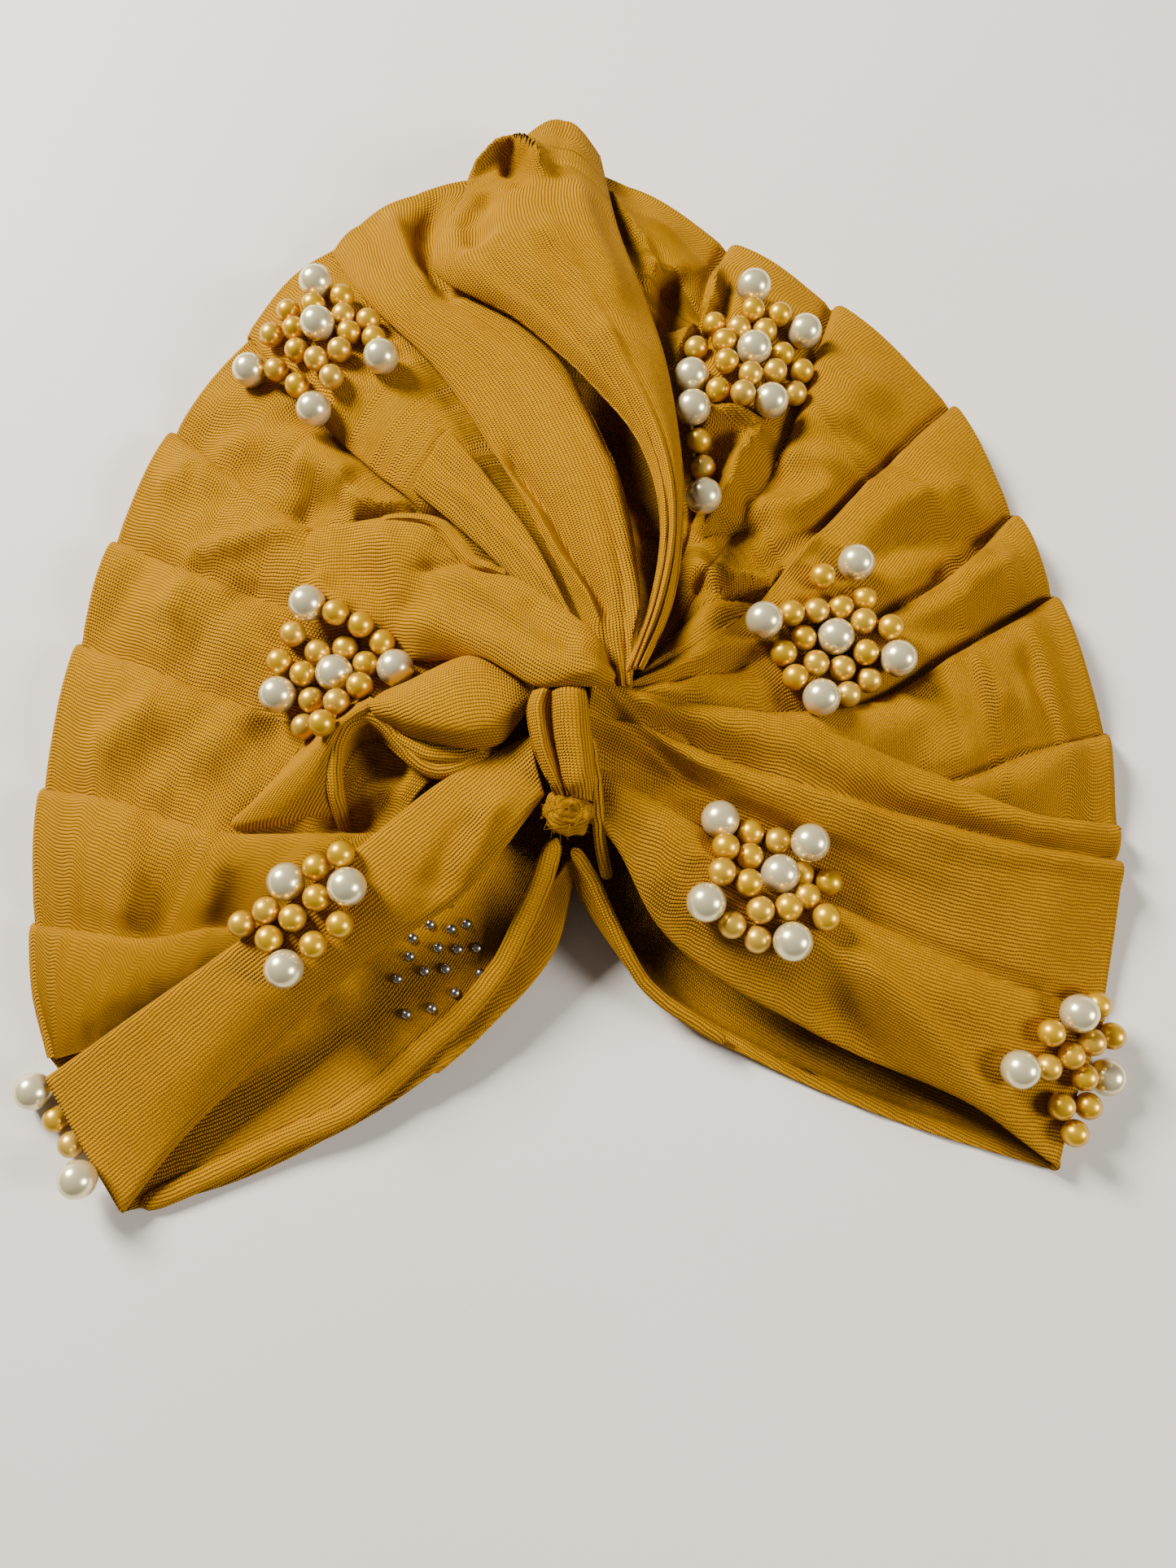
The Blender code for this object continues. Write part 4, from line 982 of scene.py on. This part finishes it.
def rolled_strip(name, half_width, half_height, route):
    """A rolled strip of cloth along a smooth route, oval in section, with a knit surface."""
    centres = smooth_line(route, STRIP_CELLS)
    along = np.gradient(centres, axis=0)
    along /= np.linalg.norm(along, axis=1, keepdims=True)
    sideways = np.cross(along, (0, 0, 1))
    sideways /= np.linalg.norm(sideways, axis=1, keepdims=True)
    upward = np.cross(sideways, along)
    turns = np.linspace(0, 2 * math.pi, STRIP_SIDES + 1)[:, None, None]
    places = np.linspace(-1, 1, STRIP_CELLS + 1)
    taper = np.sqrt(np.clip(1 - places**STRIP_BLUNT, STRIP_TIP, 1))[None, :, None]
    ring = half_width * np.cos(turns) * sideways + half_height * np.sin(turns) * upward
    return knit_mesh(name, centres + taper * ring)


def ball_grid(centre, radius, segments, rings):
    """Points and faces of a round ball."""
    tilt = np.linspace(0, math.pi, rings + 1)[1:-1]
    turn = np.arange(segments) * 2 * math.pi / segments
    level = np.sin(tilt)[:, None]
    x = level * np.cos(turn)
    y = level * np.sin(turn)
    z = np.cos(tilt)[:, None] * np.ones(segments)
    points = np.concatenate([np.stack([x, y, z], axis=2).reshape(-1, 3), [(0, 0, 1), (0, 0, -1)]])
    top = len(points) - 2
    last = (rings - 2) * segments
    faces = []
    for low in range(0, last, segments):
        high = low + segments
        for side in range(segments):
            following = (side + 1) % segments
            faces.append((low + side, high + side, high + following, low + following))
    for side in range(segments):
        following = (side + 1) % segments
        faces.append((top, side, following))
        faces.append((top + 1, last + following, last + side))
    return np.array(centre) + radius * points, faces


def joined_balls(name, balls, segments, rings, material):
    """Several balls as one mesh. Each ball is (x, y, z, radius)."""
    points = []
    faces = []
    for ball in balls:
        start = sum(len(part) for part in points)
        ball_points, ball_faces = ball_grid(ball[:3], ball[3], segments, rings)
        points.append(ball_points)
        faces += [tuple(start + v for v in face) for face in ball_faces]
    return make_mesh(name, np.concatenate(points), faces, material)


def cloth_tree(objects):
    """A search tree over the cloth, in the tables' millimetres."""
    points = []
    faces = []
    for piece in objects:
        start = len(points)
        points += [Vector(vert.co) / MM - Vector((*HAT_SHIFT, 0)) for vert in piece.data.vertices]
        faces += [tuple(start + v for v in face.vertices) for face in piece.data.polygons]
    return BVHTree.FromPolygons(points, faces)


def height_below(tree, x, y, start):
    """The cloth's height straight below a point, or None where there is no cloth."""
    hit = tree.ray_cast(Vector((x, y, start)), Vector((0, 0, -1)))[0]
    return hit.z if hit else None


def rest_height(tree, x, y, radius):
    """The lowest height at which a ball's centre clears the cloth below it and the table."""
    height = radius
    for ring in SEAT_RINGS:
        for turn in range(SEAT_TURNS if ring else 1):
            angle = turn * 2 * math.pi / SEAT_TURNS
            dx = ring * radius * math.cos(angle)
            dy = ring * radius * math.sin(angle)
            cloth = height_below(tree, x + dx, y + dy, ABOVE_ALL)
            if cloth is not None:
                height = max(height, cloth + radius * math.sqrt(1 - ring**2) - BEAD_SINK)
    return height


def settle(balls, tree):
    """Pushes crowded balls apart on the cloth. Each ball is [x, y, z, radius]."""
    for turn in range(SETTLE_ROUNDS + 1):
        for ball in balls:
            ball[2] = rest_height(tree, ball[0], ball[1], ball[3])
        if turn == SETTLE_ROUNDS:
            return
        for i in range(len(balls)):
            for j in range(i):
                gap = np.array(balls[i][:3]) - np.array(balls[j][:3])
                short = balls[i][3] + balls[j][3] + BEAD_GAP - np.linalg.norm(gap)
                if short > 0:
                    apart = max(np.linalg.norm(gap[:2]), SETTLE_LEAST)
                    push = SETTLE_SHARE * short * gap[:2] / apart
                    for ball, way in ((balls[i], 1), (balls[j], -1)):
                        ball[0] += way * push[0]
                        ball[1] += way * push[1]


def bead_objects(cloth):
    """Pearls and gold beads settled on the cloth, cluster by cluster."""
    tree = cloth_tree(cloth)
    for name, pearls, gold in CLUSTERS:
        balls = [[x, y, 0, PEARL / 2] for x, y in pearls]
        balls += [[x, y, 0, GOLD_BEAD / 2] for x, y in gold]
        settle(balls, tree)
        for k in range(len(pearls)):
            node = f"pearl_{name}_{k + 1}"
            made = joined_balls(node + "_looks", [balls[k]], *PEARL_MESH, pearl_material())
            carry(made, "pearl", node)
        node = f"gold_beads_{name}"
        beads = balls[len(pearls) :]
        made = joined_balls(node + "_looks", beads, *GOLD_MESH, gold_material())
        carry(made, "gold_bead", node)


def carry(made, slot, *nodes):
    """Attaches a piece to the root body and hides the nodes of the solid that it takes the place of, if
    any. slot is not used.
    """
    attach(made, "root")
    carried = [node for node in nodes if node in frame["nodes"]]
    if carried:
        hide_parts(*carried)


def rivet_objects(tree):
    """Small metal rivets on the inside of the lower wall."""
    balls = []
    for x, y in RIVETS:
        height = height_below(tree, x, y, RIVET_SEARCH)
        balls.append((x, y, BACK_LIFT if height is None else height, RIVET_RADIUS))
    return joined_balls("rivets", balls, *RIVET_MESH, rivet_material())


def knot_threads(count):
    """A fuzz of short curling threads round the knot."""
    chance = np.random.default_rng(THREAD_SEED)
    sides = len(THREAD_TURNS)
    points = []
    faces = []
    for _ in range(count):
        way = chance.normal(size=3)
        way[2] = abs(way[2])
        way /= np.linalg.norm(way)
        start = np.array(KNOT_AT) + way * np.array(KNOT_SIZE) / 2 * chance.uniform(*THREAD_STARTS)
        bend = np.cross(way, chance.normal(size=3))
        length = chance.uniform(*THREAD_LENGTHS)
        base = len(points)
        for s in np.linspace(0, 1, THREAD_CELLS + 1):
            at = start + length * s * way * THREAD_REACH + length * s * s * bend * THREAD_CURL
            for turn in THREAD_TURNS:
                side = np.array([math.cos(turn), math.sin(turn), math.sin(turn + 1)])
                points.append(at + THREAD_RADIUS * (1 - THREAD_TAPER * s) * side)
        for k in range(THREAD_CELLS):
            for side in range(sides):
                a = base + sides * k + side
                b = base + sides * k + (side + 1) % sides
                faces.append((a, b, b + sides, a + sides))
    return make_mesh("knot_threads", np.array(points), faces, knit_material())


def knot_object():
    """The knot: a ball of wrung cloth."""
    points, faces = ball_grid((0, 0, 0), 0.5, *KNOT_MESH)
    x, y, z = points.T
    wound = np.arctan2(y, x) * KNOT_STRANDS + KNOT_WIND * z
    strand, big, small, fine = KNOT_LUMPS
    lump = 1 + strand * np.sin(wound)
    lump = lump + big * np.sin(KNOT_BIG[0] * x + 2) * np.cos(KNOT_BIG[1] * y)
    wide_x, wide_y, wide_z = KNOT_WIDTH * x, KNOT_WIDTH * y, KNOT_WIDTH * z
    small_lumps = small * ripples(wide_x, wide_y, *KNOT_SMALL)
    lump += small_lumps + fine * ripples(wide_y, wide_z, *KNOT_FINE)
    points = points * lump[:, None] * np.array(KNOT_SIZE) + np.array(KNOT_AT)
    places = np.stack([KNOT_KNIT[0] * wound / KNOT_STRANDS, KNOT_KNIT[1] * z], axis=1)
    return make_mesh("knot_cloth", points, faces, knit_material(), places)


def node_group(name, inputs, outputs):
    """A new shader group with its sockets: the group, its input node and its output node."""
    group = bpy.data.node_groups.new(name, "ShaderNodeTree")
    for label, kind, value in inputs:
        socket = group.interface.new_socket(label, in_out="INPUT", socket_type=kind)
        if value is not None:
            socket.default_value = value
    for label, kind in outputs:
        group.interface.new_socket(label, in_out="OUTPUT", socket_type=kind)
    return group, group.nodes.new("NodeGroupInput"), group.nodes.new("NodeGroupOutput")


def math_node(tree, operation, *values):
    """A Math node's output. Each value is a number or another node's output."""
    node = tree.nodes.new("ShaderNodeMath")
    node.operation = operation
    for socket, value in zip(node.inputs, values):
        if isinstance(value, (int, float)):
            socket.default_value = value
        else:
            tree.links.new(value, socket)
    return node.outputs[0]


def knit_group():
    """Ribs and stitches of a fine knit. UV places are in millimetres."""
    found = bpy.data.node_groups.get("Knit")
    if found:
        return found
    group, given, result = node_group(
        "Knit",
        (
            ("Places", "NodeSocketVector", None),
            ("Rib pitch", "NodeSocketFloat", 0.62),
            ("Stitch pitch", "NodeSocketFloat", 0.5),
        ),
        (("Height", "NodeSocketFloat"), ("Valley", "NodeSocketFloat")),
    )
    link = group.links.new
    warp = group.nodes.new("ShaderNodeTexNoise")
    warp.inputs["Scale"].default_value = KNIT_BEND_SCALE
    warp.inputs["Detail"].default_value = 1
    link(given.outputs["Places"], warp.inputs["Vector"])
    parts = group.nodes.new("ShaderNodeSeparateXYZ")
    link(given.outputs["Places"], parts.inputs[0])
    sway = math_node(group, "MULTIPLY", warp.outputs["Fac"], KNIT_BEND)
    sideways = math_node(group, "ADD", parts.outputs["Y"], sway)
    rib = math_node(group, "DIVIDE", sideways, given.outputs["Rib pitch"])
    cell = math_node(group, "FRACT", rib)
    centred = math_node(group, "ABSOLUTE", math_node(group, "SUBTRACT", cell, 0.5))
    slope = math_node(group, "MULTIPLY", centred, 2.0)
    valley = math_node(group, "POWER", slope, VALLEY_POWER)
    stitch = math_node(group, "DIVIDE", parts.outputs["X"], given.outputs["Stitch pitch"])
    phase = math_node(group, "ADD", stitch, math_node(group, "MULTIPLY", slope, STITCH_SLANT))
    loops = math_node(group, "SINE", math_node(group, "MULTIPLY", phase, 2 * math.pi))
    crown = math_node(group, "SUBTRACT", 1.0, valley)
    height = math_node(group, "MULTIPLY_ADD", loops, STITCH_HEIGHT, crown)
    link(height, result.inputs["Height"])
    link(valley, result.inputs["Valley"])
    return group


def wear_group():
    """Soft patches and fuzz that vary a surface's colour and relief."""
    found = bpy.data.node_groups.get("Cloth variation")
    if found:
        return found
    group, given, result = node_group(
        "Cloth variation",
        (("Patch size", "NodeSocketFloat", 60.0), ("Fuzz size", "NodeSocketFloat", 2200.0)),
        (("Patches", "NodeSocketFloat"), ("Fuzz", "NodeSocketFloat")),
    )
    place = group.nodes.new("ShaderNodeTexCoord")
    for label, size, detail in (("Patches", "Patch size", 3), ("Fuzz", "Fuzz size", 4)):
        noise = group.nodes.new("ShaderNodeTexNoise")
        noise.inputs["Detail"].default_value = detail
        group.links.new(place.outputs["Object"], noise.inputs["Vector"])
        group.links.new(given.outputs[size], noise.inputs["Scale"])
        group.links.new(noise.outputs["Fac"], result.inputs[label])
    return group


def use_group(tree, group):
    """A node that uses a shader group."""
    node = tree.nodes.new("ShaderNodeGroup")
    node.node_tree = group
    return node


def colour_mix(tree, share, first, second):
    """A mix of two colours. Each is plain or comes from another node."""
    mix = tree.nodes.new("ShaderNodeMix")
    mix.data_type = "RGBA"
    tree.links.new(share, mix.inputs["Factor"])
    for socket, value in ((mix.inputs["A"], first), (mix.inputs["B"], second)):
        if isinstance(value, bpy.types.NodeSocket):
            tree.links.new(value, socket)
        else:
            socket.default_value = (*value, 1)
    return mix.outputs["Result"]


def facing_share(tree, blend):
    """0 where a surface faces the eye, 1 at its rim."""
    facing = tree.nodes.new("ShaderNodeLayerWeight")
    facing.inputs["Blend"].default_value = blend
    return facing.outputs["Facing"]


def new_material(name):
    """A new material with its plain values, its node tree and its shader."""
    made = bpy.data.materials.new(name)
    made.use_nodes = True
    shader = made.node_tree.nodes["Principled BSDF"]
    for label, value in SURFACES[name].items():
        shader.inputs[label].default_value = value
    return made, made.node_tree, shader


def knit_material():
    """Mustard knit with ribs, stitches, painted shade between the ribs, soft patches and fuzz."""
    found = bpy.data.materials.get("mustard knit")
    if found:
        return found
    made, tree, shader = new_material("mustard knit")
    looks = bpy.context.scene.turban_knit
    places = tree.nodes.new("ShaderNodeUVMap")
    places.uv_map = "knit"
    knit = use_group(tree, knit_group())
    knit.inputs["Rib pitch"].default_value = looks.rib_pitch
    knit.inputs["Stitch pitch"].default_value = looks.stitch_pitch
    tree.links.new(places.outputs["UV"], knit.inputs["Places"])
    varied = use_group(tree, wear_group())
    base = colour_mix(tree, varied.outputs["Patches"], looks.deep, looks.bright)
    # Painted shade: the cloth is darker in the valleys between its ribs
    valley = math_node(tree, "MULTIPLY", knit.outputs["Valley"], looks.valley_shade)
    valley_shaded = colour_mix(tree, valley, base, looks.valley)
    fuzz = math_node(tree, "MULTIPLY", varied.outputs["Fuzz"], looks.fuzz)
    tone = colour_mix(tree, fuzz, valley_shaded, looks.fuzz_colour)
    tree.links.new(tone, shader.inputs["Base Color"])
    bump = tree.nodes.new("ShaderNodeBump")
    bump.inputs["Distance"].default_value = looks.relief * MM
    fuzzy, ribs = varied.outputs["Fuzz"], knit.outputs["Height"]
    height = math_node(tree, "MULTIPLY_ADD", fuzzy, FUZZ_HEIGHT, ribs)
    tree.links.new(height, bump.inputs["Height"])
    tree.links.new(bump.outputs["Normal"], shader.inputs["Normal"])
    return made


def pearl_material():
    """Ivory nacre, with painted shade and a painted reflection of the gold cloth at the rim of each pearl.
    """
    found = bpy.data.materials.get("ivory pearl")
    if found:
        return found
    made, tree, shader = new_material("ivory pearl")
    looks = bpy.context.scene.turban_trim
    # Painted shade and reflection of the gold cloth towards each pearl's rim
    rim = facing_share(tree, PEARL_RIM)
    tone = colour_mix(tree, rim, looks.pearl_heart, looks.pearl_rim_shade_and_reflection)
    tree.links.new(tone, shader.inputs["Base Color"])
    return made


def gold_material():
    """Satin pearl gold, with painted shade at the rim of each bead. A few of the beads are paler."""
    found = bpy.data.materials.get("satin pearl gold")
    if found:
        return found
    made, tree, shader = new_material("satin pearl gold")
    looks = bpy.context.scene.turban_trim
    island = tree.nodes.new("ShaderNodeNewGeometry").outputs["Random Per Island"]
    paleness = math_node(tree, "POWER", island, GOLD_PALE_POWER)
    heart = colour_mix(tree, paleness, looks.gold_heart, looks.gold_pale)
    # Painted shade towards each bead's rim
    tone = colour_mix(tree, facing_share(tree, GOLD_RIM), heart, looks.gold_rim_shade)
    tree.links.new(tone, shader.inputs["Base Color"])
    return made


def rivet_material():
    """Bright steel."""
    return new_material("rivet steel")[0]


def table_material():
    """A pale plain table with faint patches."""
    made, tree, shader = new_material("pale table")
    looks = bpy.context.scene.turban_stage
    varied = use_group(tree, wear_group())
    varied.inputs["Patch size"].default_value = TABLE_PATCHES
    tone = colour_mix(tree, varied.outputs["Patches"], looks.table_warm, looks.table_cool)
    tree.links.new(tone, shader.inputs["Base Color"])
    return made


def table_object(side):
    """A square table top. side is in metres."""
    half = side / 2 / MM
    corners = ((-half, -half, 0), (half, -half, 0), (half, half, 0), (-half, half, 0))
    return make_mesh("table", np.array(corners), [(0, 1, 2, 3)], table_material())


def set_light(name, place, size, power, colour):
    """A soft square light that looks at the hat."""
    light = bpy.data.lights.new(name, "AREA")
    light.size = size
    light.energy = power
    light.color = colour
    lamp = place_in_scene(name, light)
    lamp.location = place
    lamp.rotation_euler = Vector(place).to_track_quat("Z", "Y").to_euler()


def set_room(brightness):
    """The even light of the room."""
    world = bpy.data.worlds.new("room")
    world.use_nodes = True
    light = world.node_tree.nodes["Background"]
    light.inputs["Color"].default_value = (*ROOM_COLOUR, 1)
    light.inputs["Strength"].default_value = brightness
    bpy.context.scene.world = world


def set_camera():
    """The camera above the mouth of the hat, leaning towards the crown."""
    camera = place_in_scene("camera", bpy.data.cameras.new("camera"))
    camera.data.lens = LENS
    camera.data.sensor_width = SENSOR
    camera.data.clip_start = NEAREST_SEEN
    lean = math.radians(CAMERA_LEAN)
    back = -CAMERA_HEIGHT * math.tan(lean)
    camera.location = (HAT_SHIFT[0] * MM, (HAT_SHIFT[1] + back) * MM, CAMERA_HEIGHT * MM)
    camera.rotation_euler = (lean, 0, 0)
    bpy.context.scene.camera = camera


def colour_setting(name, description, default):
    """A colour in linear light that can be changed in the panel."""
    return FloatVectorProperty(
        name=name, description=description, default=default, min=0, max=1, subtype="COLOR"
    )


class TurbanKnit(bpy.types.PropertyGroup):
    """The knit surface."""

    rib_pitch: FloatProperty(
        name="Rib pitch", description="Rib spacing, in millimetres", default=0.8, min=0.2
    )
    stitch_pitch: FloatProperty(
        name="Stitch pitch", description="Stitch spacing, in millimetres", default=0.62, min=0.2
    )
    relief: FloatProperty(
        name="Relief", description="Height of the ribs, in millimetres", default=0.4, min=0
    )
    valley_shade: FloatProperty(
        name="Valley shade",
        description="How much darker the cloth is between ribs",
        default=0.55,
        subtype="FACTOR",
    )
    fuzz: FloatProperty(
        name="Fuzz", description="Share of loose pale fibres", default=0.35, subtype="FACTOR"
    )
    deep: colour_setting("Deep", "The cloth in its deeper patches", KNIT_DEEP)
    bright: colour_setting("Bright", "The cloth in its brighter patches", KNIT_BRIGHT)
    # Painted shade in the valleys between ribs
    valley: colour_setting("Valley", "The cloth between its ribs", KNIT_VALLEY_SHADE)
    fuzz_colour: colour_setting("Fuzz colour", "The loose pale fibres", KNIT_FUZZ)


class TurbanStage(bpy.types.PropertyGroup):
    """The table and the lights."""

    key_power: FloatProperty(
        name="Key power", description="Power of the window light", default=58.0, unit="POWER"
    )
    fill: FloatProperty(
        name="Fill", description="Brightness of the room", default=0.105, min=0
    )
    table_size: FloatProperty(
        name="Table size", description="Side of the table", default=3.0, unit="LENGTH"
    )
    table_warm: colour_setting("Table, warm", "The table in its warmer patches", TABLE_WARM)
    table_cool: colour_setting("Table, cool", "The table in its cooler patches", TABLE_COOL)


class TurbanTrim(bpy.types.PropertyGroup):
    """Pearls, gold beads, rivets and loose threads."""

    rivets: BoolProperty(
        name="Rivets", description="Put the rivets inside the lower wall", default=True
    )
    knot_threads: IntProperty(
        name="Knot threads", description="Loose threads on the knot", default=160, min=0
    )
    pearl_heart: colour_setting("Pearl", "The middle of a pearl", PEARL_HEART)
    # Painted shade and painted reflection of the gold cloth at a pearl's rim
    pearl_rim_shade_and_reflection: colour_setting("Pearl edge", "The rim of a pearl", PEARL_RIM_SHADE_AND_REFLECTION)
    gold_heart: colour_setting("Gold", "The middle of most gold beads", GOLD_HEART)
    gold_pale: colour_setting("Pale gold", "The middle of the palest gold beads", GOLD_PALE)
    # Painted shade at the rim of a gold bead
    gold_rim_shade: colour_setting("Gold edge", "The rim of a gold bead", GOLD_RIM_SHADE)


class TURBAN_OT_cloth(bpy.types.Operator):
    """Build the pleats, bands, drape and twist"""

    bl_idname = "turban.cloth"
    bl_label = "Build the cloth"

    def execute(self, context):
        for piece in CLOTH:
            made, points = cloth_object(piece)
            carry(made, "cloth", piece.node)
            declare_sheet(made, points)
        return {"FINISHED"}


class TURBAN_OT_back(bpy.types.Operator):
    """Build the lower wall and its hem"""

    bl_idname = "turban.back"
    bl_label = "Build the lower wall"

    def execute(self, context):
        back, points = back_object()
        carry(back, "cloth", "back_panel")
        for name, half_width, half_height, route in ROLLED_STRIPS:
            made = rolled_strip(name + "_cloth", half_width, half_height, route)
            carry(made, "cloth", name)
        declare_sheet(back, points)
        return {"FINISHED"}


class TURBAN_OT_knot(bpy.types.Operator):
    """Build the knot and its loose threads"""

    bl_idname = "turban.knot"
    bl_label = "Build the knot"

    def execute(self, context):
        carry(knot_object(), "cloth", "tie_knot")
        count = context.scene.turban_trim.knot_threads
        if count:
            carry(knot_threads(count), "cloth")
        return {"FINISHED"}


class TURBAN_OT_beads(bpy.types.Operator):
    """Settle the pearls, gold beads and rivets on the cloth"""

    bl_idname = "turban.beads"
    bl_label = "Settle the beads"

    def execute(self, context):
        bead_objects([made for made in context.scene.objects if made.name.endswith("_cloth")])
        if context.scene.turban_trim.rivets:
            rivets = rivet_objects(cloth_tree([bpy.data.objects["back_cloth"]]))
            carry(rivets, "gold_bead")
        return {"FINISHED"}


class TURBAN_OT_stage(bpy.types.Operator):
    """Set the table, the lights and the camera"""

    bl_idname = "turban.stage"
    bl_label = "Set the stage"

    def execute(self, context):
        looks = context.scene.turban_stage
        table_object(looks.table_size)
        for name, place, size, share, colour in LIGHTS:
            set_light(name, place, size, share * looks.key_power, colour)
        set_room(looks.fill)
        set_camera()
        return {"FINISHED"}


class TURBAN_PT_panel(bpy.types.Panel):
    """The turban's settings and buttons"""

    bl_label = "Turban"
    bl_space_type = "VIEW_3D"
    bl_region_type = "UI"
    bl_category = "Turban"

    def draw(self, context):
        for name, _ in GROUPS:
            settings = getattr(context.scene, name)
            box = self.layout.box()
            for setting in settings.bl_rna.properties.keys():
                if setting not in ("rna_type", "name"):
                    box.prop(settings, setting)
        for operator in OPERATORS:
            self.layout.operator(operator.bl_idname)


GROUPS = (("turban_knit", TurbanKnit), ("turban_stage", TurbanStage), ("turban_trim", TurbanTrim))
OPERATORS = (TURBAN_OT_cloth, TURBAN_OT_back, TURBAN_OT_knot, TURBAN_OT_beads, TURBAN_OT_stage)


def register():
    for name, group in GROUPS:
        bpy.utils.register_class(group)
        setattr(bpy.types.Scene, name, PointerProperty(type=group))
    for operator in OPERATORS:
        bpy.utils.register_class(operator)
    bpy.utils.register_class(TURBAN_PT_panel)


def unregister():
    bpy.utils.unregister_class(TURBAN_PT_panel)
    for operator in reversed(OPERATORS):
        bpy.utils.unregister_class(operator)
    for name, group in reversed(GROUPS):
        delattr(bpy.types.Scene, name)
        bpy.utils.unregister_class(group)


def main():
    register()
    bpy.ops.turban.cloth()
    bpy.ops.turban.back()
    bpy.ops.turban.knot()
    bpy.ops.turban.beads()
    bpy.ops.turban.stage()


if __name__ == "__main__":
    main()
